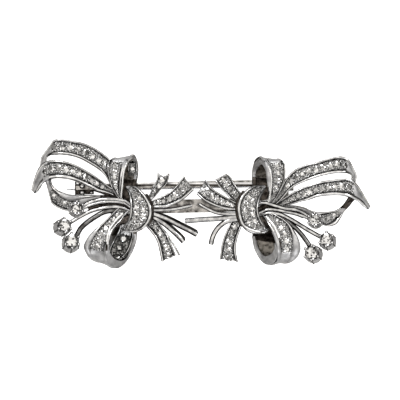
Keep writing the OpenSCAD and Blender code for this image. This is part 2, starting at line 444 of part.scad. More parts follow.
// The eight corners of a ribbon's section: rim, groove, rim and drawn-in back
function section(rows, t, depth, notch) =
    let (
        row = row_at(rows, t),
        groove = groove_at(row),
        width = groove[3],
        start = left_edge(row),
        side = (right_edge(row) - start) / width,
        up = face_at(rows, t),
        ahead = forward_at(rows, t),
        cut = min(1, max(0, row[6])),
        floor_z = -groove_depth * cut,
        back_z = -mix(sheet_depth, depth, cut),
        draw = back_draw * groove[4],
        outline = [
            [0, 0], [groove[0], 0],
            [groove[0] + groove[2], floor_z], [width - groove[1] - groove[2], floor_z],
            [width - groove[1], 0], [width, 0],
            [width - draw, back_z], [draw, back_z]
        ]
    )
    [for (p = outline)
        start + side * p[0] + up * p[1] - ahead * notch * (1 - abs(2 * p[0] / width - 1))];

module ribbon(rows, steps = 1, depth = ribbon_depth, notch = 0) {
    count = (len(rows) - 1) * steps;
    points = [for (i = [0 : count]) each section(rows, i / steps, depth, i == count ? notch : 0)];
    end = count * corners;
    sides = [for (i = [0 : count - 1], j = [0 : corners - 1])
        let (a = i * corners + j, b = i * corners + (j + 1) % corners, c = b + corners, d = a + corners)
        each [[a, d, c], [a, c, b]]];
    caps = [[0, 1, 2, 7], [2, 3, 6, 7], [3, 4, 5, 6]];
    near_cap = [for (f = caps) each [[f[0], f[1], f[2]], [f[0], f[2], f[3]]]];
    far_cap = [for (f = near_cap) [f[2] + end, f[1] + end, f[0] + end]];
    polyhedron(points, concat(near_cap, far_cap, sides), convexity = 10);
}

// A round wire along a centre line, with softened ends
module wire(path, r, steps = 1) {
    count = (len(path) - 1) * steps;
    rings = concat([[0, 0.55, -0.5]], [for (i = [0 : count]) [i / steps, 1, 0]], [[len(path) - 1, 0.55, 0.5]]);
    points = [for (ring = rings)
        let (
            last = len(path) - 1,
            ahead = unit(row_at(path, min(ring[0] + near, last)) - row_at(path, max(ring[0] - near, 0))),
            side = unit(cross(ahead, [0, 0, 1])),
            up = cross(side, ahead),
            centre = row_at(path, ring[0]) + ahead * ring[2] * r
        )
        each [for (k = [0 : wire_sides - 1])
            centre + ring[1] * r * (side * cos(360 * k / wire_sides) + up * sin(360 * k / wire_sides))]];
    end = (len(rings) - 1) * wire_sides;
    walls = [for (i = [0 : len(rings) - 2], j = [0 : wire_sides - 1])
        let (a = i * wire_sides + j, b = i * wire_sides + (j + 1) % wire_sides)
        each [[a, b, b + wire_sides], [a, b + wire_sides, a + wire_sides]]];
    near_cap = [for (k = [wire_sides - 1 : -1 : 0]) k];
    far_cap = [for (k = [0 : wire_sides - 1]) k + end];
    polyhedron(points, concat([near_cap], [far_cap], walls), convexity = 10);
}

// Corners of one cut stone: table ring, girdle ring and culet
function stone_points(place, up, along, d, cut) =
    let (across = cross(up, along))
    concat(
        [for (k = [0 : cut - 1]) place + up * d * crown_part
            + d * table_part / 2 * (along * cos(360 * k / cut) + across * sin(360 * k / cut))],
        [for (k = [0 : cut - 1]) place
            + d / 2 * (along * cos(360 * k / cut) + across * sin(360 * k / cut))],
        [place - up * d * pavilion_part]
    );
function stone_faces(cut, base) =
    concat(
        [[for (k = [cut - 1 : -1 : 0]) base + k]],
        [for (k = [0 : cut - 1])
            let (n = (k + 1) % cut) [base + k, base + n, base + cut + n, base + cut + k]],
        [for (k = [0 : cut - 1])
            let (n = (k + 1) % cut) [base + cut + k, base + cut + n, base + 2 * cut]]
    );

// Loose stones of one field, standing in the ribbon's groove
module stone_field(rows, field) {
    points = [for (s = field)
        let (
            row = row_at(rows, s[0]),
            groove = groove_at(row),
            side = (right_edge(row) - left_edge(row)) / groove[3],
            up = face_at(rows, s[0]),
            room = groove[3] - groove[0] - groove[1] - 4 * gap,
            drop = (groove_depth * min(1, row[6]) - girdle_sink - gap) / pavilion_part,
            d = min(s[2] * stone_scale, room, drop),
            low = groove[0] + d / 2 + 2 * gap,
            high = groove[3] - groove[1] - d / 2 - 2 * gap,
            place = left_edge(row) + side * mix(low, high, s[1]) - up * girdle_sink
        )
        each stone_points(place, up, cross(side, up), d, small_cut)];
    faces = [for (i = [0 : len(field) - 1]) each stone_faces(small_cut, i * (2 * small_cut + 1))];
    polyhedron(points, faces, convexity = 10);
}

function collet_foot_at(c) = [c[0] + c[4], c[1] + c[5], c[2] - collet_h];
function collet_axis(c) = unit([c[0], c[1], c[2]] - collet_foot_at(c));

// Puts its children on the collet's foot, with +Z along the collet's axis
module on_collet(c) {
    axis = collet_axis(c);
    translate(collet_foot_at(c)) rotate([0, acos(axis[2]), atan2(axis[1], axis[0])]) children();
}

module claw_collet(c) {
    foot_r = c[3] * collet_foot;
    inner_r = c[3] - collet_wall;
    on_collet(c) {
        rotate_extrude($fn = 16)
            polygon([
                [0, 0], [foot_r, 0], [c[3], collet_h], [inner_r, collet_h],
                [foot_r - collet_wall / 2, collet_h * 0.45], [0, collet_h * 0.4]
            ]);
        for (k = [0 : claws - 1])
            rotate([0, 0, 360 * (k + 0.5) / claws])
                hull() {
                    translate([foot_r, 0, collet_h * 0.2]) sphere(claw_r, $fn = 6);
                    translate([c[3] - claw_r / 2, 0, collet_h + claw_r]) sphere(claw_r, $fn = 6);
                }
    }
}

// The larger cut stone that stands in a claw collet
module collet_stone(c) {
    axis = collet_axis(c);
    side = unit(cross([0, 1, 0], axis));
    seat = [c[0], c[1], c[2]] - axis * girdle_sink;
    d = 2 * c[3] * main_part;
    color("white") polyhedron(stone_points(seat, axis, side, d, main_cut), stone_faces(main_cut, 0));
}

module back_plate(corner_list) {
    hull()
        for (p = corner_list)
            translate([p[0], p[1], plate_low]) cylinder(plate_top - plate_low, r = plate_r, $fn = 12);
}

// All soldered metal of one spray; the loops and the knot are drawn with more sections than the rest
module spray(ribbons, loops, knot, stems, stem_r, wires, wire_r, collets, plate) {
    color("gainsboro") {
        for (rows = ribbons) ribbon(rows);
        for (rows = loops) ribbon(rows, steps = 2);
        ribbon(knot, steps = 2, depth = knot_depth);
        for (i = [0 : len(stems) - 1]) wire(stems[i], stem_r[i]);
        for (i = [0 : len(wires) - 1]) wire(wires[i], wire_r[i]);
        for (c = collets) claw_collet(c);
        back_plate(plate);
    }
}

module left_spray() {
    spray(
        [left_wing_upper, left_wing_lower, left_under, left_bottom_back, left_broad, left_lower],
        [left_top_loop, left_bottom_loop],
        left_knot, left_stems, left_stem_r, left_wires, left_wire_r, left_collets, left_plate
    );
    color("gainsboro") ribbon(left_fork, notch = fork_notch);
}

// Depth of the swallow-tail notch in the left fork tail
fork_notch = 0.9;

module right_spray() {
    spray(
        [right_wing_upper, right_wing_lower, right_under, right_fork, right_broad, right_lower],
        [right_top_loop, right_bottom_loop],
        right_knot, right_stems, right_stem_r, right_wires, right_wire_r, right_collets, right_plate
    );
}

// Frame sizes, in the frame's own axes
bar_y = 3.98;
bar_w = 1.2;
bar_left = -25;
bar_right = 18.4;
plate_y = -0.35;
plate_w = 2.7;
plate_left = -18.1;
plate_right = 17.6;
cross_w = 1.2;
lug_r = pin_z;
lug_t = 0.5;
knuckle_w = 1.3;
knuckle_r = 0.9;
rivet_r = 0.3;
rivet_gap = 0.06;
catch_left = -25.2;
flange_t = 1;
catch_right = -21.4;
catch_w = 2.2;
hook_r = 1.05;
hook_bore = 0.62;
hook_slot = 1.1;
taper = 6.2;
point_r = 0.08;
root = 2.2;
root_r = 0.6;

module span_x(x0, x1, y, w, z0, z1) {
    translate([x0, y - w / 2, z0]) cube([x1 - x0, w, z1 - z0]);
}

// A cylinder along the frame's Y axis through the hinge
module hinge_round(r, w, y) {
    translate([hinge_x, y + w / 2, pin_z]) rotate([90, 0, 0]) cylinder(w, r = r, $fn = 32);
}

// The hook that holds the pin near its point, open at the back
module catch_hook() {
    difference() {
        union() {
            span_x(catch_left, catch_left + flange_t, pin_y, catch_w, 0, bar_low);
            translate([catch_left, pin_y, pin_z]) rotate([0, 90, 0])
                cylinder(catch_right - catch_left, r = hook_r, $fn = 32);
            span_x(catch_left, catch_right, pin_y, hook_slot, pin_z, bar_low);
        }
        translate([catch_left - 1, pin_y, pin_z]) rotate([0, 90, 0])
            cylinder(catch_right - catch_left + 2, r = hook_bore, $fn = 32);
        span_x(catch_left - 1, catch_right + 1, pin_y, hook_slot, -1, pin_z);
    }
}

// Two lugs with the rivet that the pin turns on
module hinge_lugs() {
    lug_y = knuckle_w / 2 + 2 * gap + lug_t / 2;
    for (side = [-1, 1]) {
        hinge_round(lug_r, lug_t, pin_y + side * lug_y);
        span_x(hinge_x - lug_r, hinge_x + lug_r, pin_y + side * lug_y, lug_t, pin_z, bar_low);
    }
    span_x(hinge_x - lug_r, hinge_x + lug_r, pin_y, 2 * lug_y + lug_t, bar_low, bar_top);
    hinge_round(rivet_r, 2 * lug_y + lug_t, pin_y);
}

module frame() {
    color("gainsboro") rotate([0, 0, frame_turn]) {
        span_x(bar_left, bar_right, bar_y, bar_w, bar_low, bar_top);
        span_x(plate_left, plate_right, plate_y, plate_w, bar_low, bar_top);
        for (x = [plate_left, plate_right - cross_w])
            translate([x, plate_y, bar_low]) cube([cross_w, bar_y - plate_y, bar_top - bar_low]);
        hinge_lugs();
        catch_hook();
    }
}

module pin_stem() {
    straight = hinge_x - point_x - taper;
    color("lightslategray") rotate([0, 0, frame_turn]) difference() {
        union() {
            hinge_round(knuckle_r, knuckle_w, pin_y);
            translate([hinge_x, pin_y, pin_z]) rotate([0, -90, 0]) cylinder(straight, r = pin_r, $fn = 32);
            translate([hinge_x, pin_y, pin_z]) rotate([0, -90, 0]) cylinder(root, r1 = root_r, r2 = pin_r + gap, $fn = 32);
            translate([point_x + taper, pin_y, pin_z]) rotate([0, -90, 0])
                cylinder(taper, r1 = pin_r, r2 = point_r, $fn = 32);
        }
        hinge_round(rivet_r + rivet_gap, 2 * knuckle_w, pin_y);
    }
}

module small_stones(rows, field) {
    color("white") stone_field(rows, field);
}

// A row of stones down the middle of a ribbon
module one_row(rows, first, last, count, d_first, d_last) {
    small_stones(rows, stone_row(rows, first, last, count, d_first, d_last));
}

// Two curved rows on a crescent knot: seven stones outside, four inside
module knot_stones(rows, outside, inside) {
    small_stones(rows, concat(
        stone_row(rows, 1.9, 6.95, 7, 1.12, 1.12, outside),
        stone_row(rows, 3.0, 6.0, 4, 1.02, 1.02, inside)
    ));
}

// A row that ends in two stones side by side
module tail_stones(rows, first, last, count, d_first, d_last, pair) {
    small_stones(rows, concat(
        stone_row(rows, first, last, count, d_first, d_last),
        [[pair[0], 0, pair[1]], [pair[0], 1, pair[1]]]
    ));
}

frame();
pin_stem();
left_spray();
right_spray();
one_row(left_wing_upper, 1.5, 6.9, 8, 1.2, 1.35);  // left_row_wing_upper
one_row(left_wing_lower, 2.6, 9.4, 10, 1.0, 1.35);  // left_row_wing_lower
one_row(left_under, 3.2, 6.2, 4, 1.0, 1.2);  // left_row_under
one_row(left_top_loop, 3.2, 6.5, 5, 0.8, 1.3);  // left_row_top_loop
one_row(left_bottom_loop, 1.6, 5.9, 7, 1.0, 1.35);  // left_row_bottom_loop
one_row(left_bottom_back, 1.9, 4.2, 3, 1.2, 1.2);  // left_row_bottom_back
knot_stones(left_knot, 0.14, 0.94);  // left_row_knot
tail_stones(left_fork, 1.7, 3.3, 3, 0.85, 1.15, [4.2, 0.75]);  // left_row_fork
tail_stones(left_broad, 1.4, 4.3, 5, 0.95, 1.3, [5.3, 0.82]);  // left_row_broad
one_row(left_lower, 1.5, 5.6, 5, 1.1, 1.3);  // left_row_lower
one_row(right_wing_upper, 4.0, 11.4, 10, 1.1, 1.35);  // right_row_wing_upper
one_row(right_wing_lower, 3.6, 10.7, 11, 1.0, 1.3);  // right_row_wing_lower
one_row(right_under, 4.0, 5.9, 3, 1.1, 1.1);  // right_row_under
one_row(right_top_loop, 2.8, 5.6, 5, 0.9, 1.3);  // right_row_top_loop
one_row(right_bottom_loop, 1.7, 5.8, 6, 1.1, 1.5);  // right_row_bottom_loop
knot_stones(right_knot, 0.86, 0.06);  // right_row_knot
one_row(right_fork, 1.5, 4.6, 4, 1.0, 1.2);  // right_row_fork
tail_stones(right_broad, 1.4, 4.3, 5, 0.95, 1.3, [5.3, 0.82]);  // right_row_broad
one_row(right_lower, 1.5, 5.6, 5, 1.1, 1.3);  // right_row_lower
collet_stone(left_collets[0]);  // left_stone_near
collet_stone(left_collets[1]);  // left_stone_mid
collet_stone(left_collets[2]);  // left_stone_far
collet_stone(right_collets[0]);  // right_stone_near
collet_stone(right_collets[1]);  // right_stone_mid
collet_stone(right_collets[2]);  // right_stone_far
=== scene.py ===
"""Flower brooch: two stone-set ribbon sprays in polished white gold, side by side on one pin frame."""

import logging
import math
from collections.abc import Iterable
from dataclasses import dataclass
from enum import Enum, IntEnum

import bmesh
import bpy
import numpy as np
from bpy.types import Material, Node, NodeSocket, NodeTree, Object
from mathutils import Matrix, Vector


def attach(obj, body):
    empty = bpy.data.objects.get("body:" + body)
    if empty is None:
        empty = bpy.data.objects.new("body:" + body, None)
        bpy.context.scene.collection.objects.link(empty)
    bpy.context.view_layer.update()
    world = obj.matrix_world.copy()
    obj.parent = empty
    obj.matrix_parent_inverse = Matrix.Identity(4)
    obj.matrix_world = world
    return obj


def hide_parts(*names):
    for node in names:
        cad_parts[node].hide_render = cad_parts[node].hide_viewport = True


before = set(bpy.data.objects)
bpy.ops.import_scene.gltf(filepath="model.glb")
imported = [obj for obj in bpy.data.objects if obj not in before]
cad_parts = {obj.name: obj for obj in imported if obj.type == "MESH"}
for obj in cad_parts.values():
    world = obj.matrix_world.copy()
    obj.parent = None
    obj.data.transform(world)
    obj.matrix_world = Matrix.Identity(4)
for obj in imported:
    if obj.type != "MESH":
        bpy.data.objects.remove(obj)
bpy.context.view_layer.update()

LOG = logging.getLogger("brooch")
MM = 0.001
Rows = tuple[tuple[float, ...], ...]
Line = tuple[tuple[float, float, float], ...]


class Side(Enum):
    """The two sprays of the brooch."""

    LEFT = "left"
    RIGHT = "right"


class Kind(Enum):
    """The round wires of a spray."""

    STEM = "stem"
    WIRE = "wire"
    RIDGE = "loop_ridge"
    # Dark wires laid in the gaps as painted shadow
    SHADE = "shade_wire"


class Slot(IntEnum):
    """A ribbon's material slots, in the order in which its finishes are added."""

    RIM = 0
    # Mottled with painted shade
    CHANNEL = 1
    BACK = 2
    # The inner faces of loops, in painted shade
    INNER = 3
    PLAIN = 4
    # Painted shadow over the ends near the hub
    HIDDEN = 5
    BRIGHT_RIM = 6


@dataclass(frozen=True)
class WireRun:
    """The wires of one kind in a spray, with their centre lines and radii in millimetres."""

    kind: Kind
    lines: tuple[Line, ...]
    radii: tuple[float, ...]


def plain_rows(*edges: tuple[float, ...]) -> Rows:
    """A table for a ribbon without a channel, from its left and right edges alone."""
    return tuple((*row, 0.0, 0.2, 0.2) for row in edges)


# Ribbon tables in millimetres, a row for each section from root to end. The columns are
# left edge x, y, z, right edge x, y, z, groove depth factor, left rim and right rim.
LEFT_WING_UPPER: Rows = (
    (-18.0, 3.4, 7.3, -17.3, 6.2, 7.2, 1.0, 0.4, 0.35),
    (-19.0, 5.4, 7.2, -18.2, 8.8, 6.9, 1.0, 0.45, 0.4),
    (-20.2, 6.8, 7.4, -19.4, 10.0, 6.8, 1.0, 0.5, 0.4),
    (-22.2, 8.1, 7.8, -21.2, 11.2, 7.1, 1.0, 0.5, 0.4),
    (-24.2, 9.2, 8.2, -23.4, 12.2, 7.4, 1.0, 0.5, 0.4),
    (-26.2, 9.8, 8.4, -25.8, 12.7, 7.6, 1.0, 0.5, 0.4),
    (-28.2, 10.0, 8.3, -28.2, 13.0, 7.5, 1.0, 0.5, 0.4),
    (-29.6, 9.9, 7.8, -29.5, 12.8, 7.1, 1.0, 0.5, 0.5),
    (-30.3, 9.7, 7.2, -30.3, 11.7, 6.7, 0.0, 0.5, 0.5),
    (-30.8, 9.4, 6.8, -31.3, 10.4, 6.3, 0.0, 0.4, 0.4),
    (-30.9, 9.0, 6.6, -32.0, 9.3, 6.1, 0.0, 0.4, 0.4),
    (-30.9, 8.6, 6.4, -32.2, 8.2, 5.9, 0.0, 0.4, 0.4),
    (-30.9, 8.0, 6.2, -32.2, 7.0, 5.7, 0.0, 0.4, 0.4),
)
LEFT_WING_LOWER: Rows = (
    (-16.6, 1.2, 6.9, -16.4, 2.3, 6.8, 0.8, 0.3, 0.2),
    (-17.8, 1.8, 6.9, -17.5, 3.0, 6.7, 1.0, 0.35, 0.25),
    (-19.0, 2.2, 7.0, -18.6, 3.7, 6.7, 1.0, 0.4, 0.25),
    (-20.6, 2.6, 7.2, -20.0, 4.8, 6.8, 1.0, 0.55, 0.3),
    (-22.2, 3.4, 7.6, -21.4, 5.8, 7.0, 1.0, 0.6, 0.35),
    (-24.0, 4.3, 8.1, -23.4, 7.0, 7.3, 1.0, 0.65, 0.4),
    (-25.8, 4.9, 8.3, -25.4, 8.0, 7.5, 1.0, 0.7, 0.4),
    (-27.8, 5.2, 8.3, -27.4, 8.6, 7.5, 1.0, 0.75, 0.45),
    (-29.6, 5.2, 7.9, -29.4, 8.8, 7.1, 1.0, 0.8, 0.45),
    (-31.0, 4.8, 7.3, -31.0, 8.6, 6.5, 1.0, 0.9, 0.6),
    (-31.9, 4.0, 6.6, -32.3, 7.6, 5.9, 0.0, 0.9, 0.8),
    (-32.5, 3.0, 6.1, -33.1, 6.0, 5.4, 0.0, 0.8, 0.8),
    (-32.8, 2.4, 5.8, -33.7, 4.1, 5.2, 0.0, 0.6, 0.6),
    (-33.3, 2.1, 5.4, -34.0, 2.8, 5.0, 0.0, 0.4, 0.4),
)
LEFT_UNDER: Rows = (
    (-29.8, 5.6, 6.3, -31.5, 5.2, 6.2, 0.0, 0.8, 0.4),
    (-29.9, 4.4, 5.4, -31.0, 4.0, 5.3, 0.0, 0.6, 0.3),
    (-29.5, 3.5, 4.9, -30.7, 2.8, 4.8, 0.0, 0.6, 0.3),
    (-28.7, 2.8, 4.7, -30.3, 1.3, 4.6, 0.9, 0.6, 0.3),
    (-27.8, 2.4, 4.8, -29.9, 0.1, 4.6, 1.0, 0.9, 0.35),
    (-26.6, 2.0, 5.0, -28.6, -0.8, 4.8, 1.0, 1.2, 0.35),
    (-25.2, 1.8, 5.2, -26.6, -1.4, 4.9, 1.0, 1.3, 0.35),
    (-23.6, 1.8, 5.3, -24.2, -1.0, 5.0, 0.0, 0.8, 0.35),
    (-21.8, 1.8, 5.2, -22.0, 0.2, 5.0, 0.0, 0.5, 0.35),
    (-19.8, 1.8, 5.1, -19.8, 0.8, 5.0, 0.0, 0.35, 0.35),
    (-17.6, 1.7, 5.3, -17.6, 0.8, 5.2, 0.0, 0.3, 0.3),
    (-15.2, 1.2, 5.4, -15.2, 0.4, 5.3, 0.0, 0.3, 0.3),
    (-13.4, 0.9, 5.5, -13.4, 0.1, 5.4, 0.0, 0.3, 0.3),
)
LEFT_TOP_LOOP: Rows = (
    (-14.4, -1.0, 7.0, -13.7, -0.7, 6.9, 0.3, 0.2, 0.2),
    (-15.6, 0.2, 7.3, -14.8, 0.0, 7.2, 0.3, 0.2, 0.2),
    (-16.3, 0.9, 7.5, -15.6, 1.0, 7.4, 0.8, 0.2, 0.2),
    (-17.2, 2.0, 7.9, -16.1, 2.4, 7.7, 1.0, 0.25, 0.25),
    (-18.0, 3.4, 8.5, -16.0, 3.6, 8.2, 1.0, 0.35, 0.4),
    (-18.4, 5.2, 9.0, -15.8, 5.0, 8.7, 1.0, 0.25, 0.55),
    (-18.7, 7.0, 9.2, -15.3, 6.7, 9.0, 1.0, 0.25, 0.8),
    (-18.5, 8.4, 8.7, -14.8, 8.1, 8.7, 1.0, 0.3, 0.9),
    (-17.8, 9.1, 7.3, -14.1, 9.3, 7.3, 0.0, 0.6, 0.6),
    (-17.2, 9.0, 5.3, -13.3, 9.9, 5.1, 0.0, 0.6, 0.6),
    (-16.9, 8.2, 3.0, -12.7, 8.7, 2.8, 0.0, 0.6, 0.6),
    (-16.8, 7.0, 1.8, -12.5, 7.1, 1.6, 0.0, 0.6, 0.6),
    (-16.8, 5.6, 3.1, -12.6, 5.6, 3.0, 0.0, 0.6, 0.6),
    (-16.8, 4.2, 4.4, -12.9, 4.0, 4.4, 0.0, 0.6, 0.6),
    (-16.5, 2.6, 4.8, -13.2, 2.4, 4.8, 0.0, 0.6, 0.6),
    (-15.9, 1.2, 5.2, -13.2, 0.8, 5.2, 0.0, 0.6, 0.6),
)
LEFT_BOTTOM_LOOP: Rows = (
    (-13.2, -0.7, 6.8, -14.4, 0.2, 6.8, 0.0, 0.3, 0.3),
    (-14.8, -1.8, 7.3, -16.6, -0.8, 7.2, 1.0, 0.3, 0.3),
    (-15.9, -3.3, 8.0, -18.2, -2.3, 7.7, 1.0, 0.5, 0.3),
    (-17.0, -4.5, 8.6, -19.6, -3.7, 8.2, 1.0, 0.6, 0.35),
    (-17.8, -5.8, 9.0, -21.6, -5.4, 8.5, 1.0, 0.7, 0.9),
    (-18.2, -7.4, 9.1, -22.8, -6.9, 8.5, 1.0, 0.8, 1.05),
    (-18.4, -9.0, 8.6, -23.5, -8.5, 8.0, 1.0, 0.9, 1.15),
    (-18.6, -10.6, 7.2, -23.1, -9.8, 6.8, 0.4, 0.9, 1.2),
    (-18.4, -12.0, 5.2, -22.4, -10.8, 5.2, 0.0, 1.0, 0.9),
    (-17.2, -12.9, 3.1, -21.2, -11.4, 3.3, 0.0, 1.2, 0.9),
    (-15.4, -12.1, 1.4, -20.2, -11.4, 1.6, 0.0, 1.1, 0.9),
    (-14.1, -10.4, 0.6, -19.6, -10.4, 0.7, 0.0, 0.8, 0.9),
    (-13.3, -8.6, 0.4, -19.4, -9.0, 0.4, 0.0, 0.7, 0.9),
    (-12.8, -6.8, 0.8, -18.9, -7.2, 0.8, 0.0, 0.7, 0.9),
    (-12.9, -5.0, 2.2, -18.2, -5.4, 2.2, 0.0, 0.6, 0.6),
    (-13.4, -3.4, 4.0, -17.0, -3.8, 4.0, 0.0, 0.6, 0.6),
    (-13.4, -2.0, 5.2, -15.8, -2.2, 5.2, 0.0, 0.6, 0.6),
)
LEFT_TOP_BACK: Rows = (
    (-13.1, 9.1, 4.1, -14.3, 9.0, 4.2, 0.6, 0.15, 0.15),
    (-12.9, 8.1, 3.5, -14.5, 8.0, 3.6, 1.0, 0.15, 0.15),
    (-12.9, 6.8, 3.3, -14.6, 6.8, 3.4, 1.0, 0.15, 0.15),
    (-12.9, 5.8, 3.8, -14.6, 5.8, 3.9, 0.6, 0.15, 0.15),
)
# The rolled lips of the bottom loops, broad where the loop turns under
LEFT_LIP: Rows = plain_rows(
    (-19.0, -6.8, 8.6, -18.5, -6.8, 8.6),
    (-19.1, -8.8, 8.5, -18.4, -8.8, 8.5),
    (-19.0, -10.4, 7.8, -18.1, -9.9, 7.7),
    (-18.4, -11.9, 6.8, -17.4, -10.9, 6.7),
    (-17.4, -12.8, 5.7, -16.6, -11.3, 5.6),
    (-16.4, -12.8, 4.8, -15.9, -11.4, 4.7),
    (-15.2, -11.9, 3.8, -15.0, -10.9, 3.7),
    (-14.0, -10.2, 2.8, -14.3, -9.6, 2.8),
    (-13.2, -8.4, 2.2, -13.6, -8.2, 2.2),
)
RIGHT_LIP: Rows = plain_rows(
    (10.2, -6.4, 2.2, 10.8, -6.4, 2.2),
    (10.5, -8.3, 2.4, 11.3, -8.5, 2.4),
    (11.2, -10.1, 3.0, 12.0, -9.7, 3.0),
    (12.2, -11.6, 4.0, 12.8, -10.4, 4.0),
    (13.4, -12.2, 5.1, 13.6, -10.2, 5.1),
    (14.5, -11.7, 6.3, 14.3, -9.7, 6.3),
    (15.1, -10.7, 7.3, 14.7, -8.8, 7.4),
    (15.2, -9.6, 8.1, 14.8, -8.0, 8.2),
)
RIGHT_TOP_LIP: Rows = plain_rows(
    (10.2, 4.2, 3.9, 10.8, 4.2, 3.9),
    (10.3, 6.4, 3.9, 11.0, 6.4, 3.9),
    (10.8, 8.1, 4.8, 11.5, 7.4, 4.8),
    (11.8, 9.2, 6.3, 12.1, 7.9, 6.3),
    (12.8, 9.2, 7.7, 12.6, 7.4, 7.8),
    (13.4, 8.4, 8.8, 12.9, 6.6, 8.9),
)
LEFT_BOTTOM_BACK: Rows = (
    (-13.8, -4.0, 4.6, -16.2, -4.2, 4.6, 0.0, 0.3, 0.4),
    (-13.5, -5.4, 3.4, -16.8, -5.8, 3.4, 0.6, 0.3, 0.5),
    (-13.7, -7.0, 2.4, -17.7, -7.4, 2.4, 1.0, 0.3, 0.5),
    (-14.2, -8.6, 2.0, -18.4, -9.0, 2.0, 1.0, 0.3, 0.4),
    (-15.0, -10.0, 2.1, -18.5, -10.4, 2.1, 1.0, 0.3, 0.4),
    (-16.2, -11.2, 2.7, -18.2, -11.3, 2.7, 0.6, 0.3, 0.4),
)
LEFT_KNOT: Rows = (
    (-14.6, 3.8, 7.6, -15.2, 3.3, 7.6, 0.0, 0.2, 0.2),
    (-12.8, 3.4, 8.5, -14.7, 2.6, 8.5, 0.6, 0.6, 0.35),
    (-11.4, 2.2, 9.2, -14.4, 1.6, 9.3, 1.0, 0.7, 0.5),
    (-10.4, 0.8, 9.6, -14.2, 0.4, 9.8, 1.0, 0.72, 0.55),
    (-9.8, -0.8, 9.7, -14.2, -1.0, 10.0, 1.0, 0.72, 0.55),
    (-9.8, -2.4, 9.6, -14.3, -2.2, 9.8, 1.0, 0.74, 0.55),
    (-10.5, -4.0, 9.2, -14.7, -3.3, 9.3, 1.0, 0.76, 0.55),
    (-12.0, -5.3, 8.6, -15.3, -4.2, 8.7, 1.0, 0.7, 0.45),
    (-14.0, -5.8, 8.0, -15.8, -4.8, 8.1, 0.0, 0.84, 0.84),
    (-16.0, -5.3, 7.6, -16.3, -5.0, 7.6, 0.0, 0.4, 0.4),
)
LEFT_FORK: Rows = (
    (-11.2, 1.0, 6.3, -10.2, 0.4, 6.3, 0.0, 0.2, 0.2),
    (-10.4, 1.8, 6.4, -9.0, 1.6, 6.3, 0.6, 0.25, 0.25),
    (-9.9, 2.9, 6.7, -8.0, 2.8, 6.5, 1.0, 0.3, 0.3),
    (-9.3, 3.9, 6.9, -6.8, 4.1, 6.6, 1.0, 0.3, 0.35),
    (-8.8, 5.2, 6.8, -6.3, 5.4, 6.5, 0.6, 0.3, 0.35),
    (-8.8, 6.5, 6.5, -6.3, 6.3, 6.2, 0.0, 0.3, 0.35),
)
LEFT_BROAD: Rows = (
    (-11.2, 0.5, 6.9, -11.2, -0.8, 7.0, 0.5, 0.3, 0.3),
    (-10.2, 0.7, 7.0, -10.2, -0.8, 7.2, 1.0, 0.3, 0.35),
    (-8.6, 1.2, 7.1, -8.6, -0.7, 7.5, 1.0, 0.3, 0.5),
    (-7.2, 1.9, 7.2, -7.0, -0.7, 7.6, 1.0, 0.35, 0.65),
    (-5.9, 2.7, 7.2, -5.3, -0.1, 7.6, 1.0, 0.35, 0.65),
    (-4.7, 4.0, 7.0, -3.5, 0.9, 7.4, 1.0, 0.35, 0.65),
    (-3.4, 5.7, 6.4, -1.4, 2.8, 6.8, 1.0, 0.35, 0.6),
)
LEFT_LOWER: Rows = (
    (-9.6, -2.2, 6.2, -11.3, -3.0, 6.2, 0.0, 0.3, 0.3),
    (-8.6, -3.4, 6.4, -11.0, -4.4, 6.4, 0.8, 0.35, 0.5),
    (-7.6, -4.8, 6.7, -10.2, -5.4, 6.6, 1.0, 0.35, 0.6),
    (-6.7, -6.2, 6.7, -9.3, -6.6, 6.6, 1.0, 0.35, 0.6),
    (-6.0, -7.8, 6.5, -8.7, -7.9, 6.4, 1.0, 0.35, 0.6),
    (-5.5, -9.0, 6.1, -8.3, -9.6, 6.0, 1.0, 0.35, 0.6),
    (-5.0, -10.3, 5.6, -7.9, -11.6, 5.5, 1.0, 0.35, 0.6),
)
RIGHT_WING_UPPER: Rows = (
    (11.2, 0.6, 6.4, 11.4, -0.6, 6.4, 0.0, 0.25, 0.25),
    (12.8, 0.8, 6.4, 13.2, -0.5, 6.4, 0.0, 0.25, 0.25),
    (14.4, 1.0, 6.6, 15.0, -0.1, 6.7, 0.4, 0.25, 0.25),
    (15.7, 2.6, 6.7, 16.5, 1.4, 6.9, 1.0, 0.25, 0.25),
    (16.7, 4.6, 6.8, 17.6, 2.7, 7.1, 1.0, 0.3, 0.3),
    (17.9, 6.2, 6.9, 18.9, 3.7, 7.4, 1.0, 0.4, 0.35),
    (19.4, 7.3, 7.2, 20.4, 4.4, 7.8, 1.0, 0.4, 0.4),
    (21.2, 8.0, 7.5, 22.0, 5.0, 8.1, 1.0, 0.4, 0.5),
    (23.0, 8.4, 7.7, 23.8, 5.6, 8.3, 1.0, 0.4, 0.5),
    (25.0, 9.0, 7.7, 25.6, 6.0, 8.3, 1.0, 0.4, 0.55),
    (27.0, 9.5, 7.5, 27.3, 6.2, 8.1, 1.0, 0.4, 0.6),
    (28.5, 9.5, 7.2, 28.6, 6.2, 7.8, 1.0, 0.5, 0.6),
    (29.7, 8.8, 6.8, 29.3, 6.1, 7.4, 0.2, 0.6, 0.5),
    (30.6, 7.1, 6.4, 29.9, 5.8, 7.0, 0.0, 0.4, 0.4),
    (31.2, 5.7, 6.1, 30.3, 5.3, 6.7, 0.0, 0.4, 0.4),
    (31.0, 4.4, 6.0, 30.1, 4.6, 6.5, 0.0, 0.4, 0.4),
)
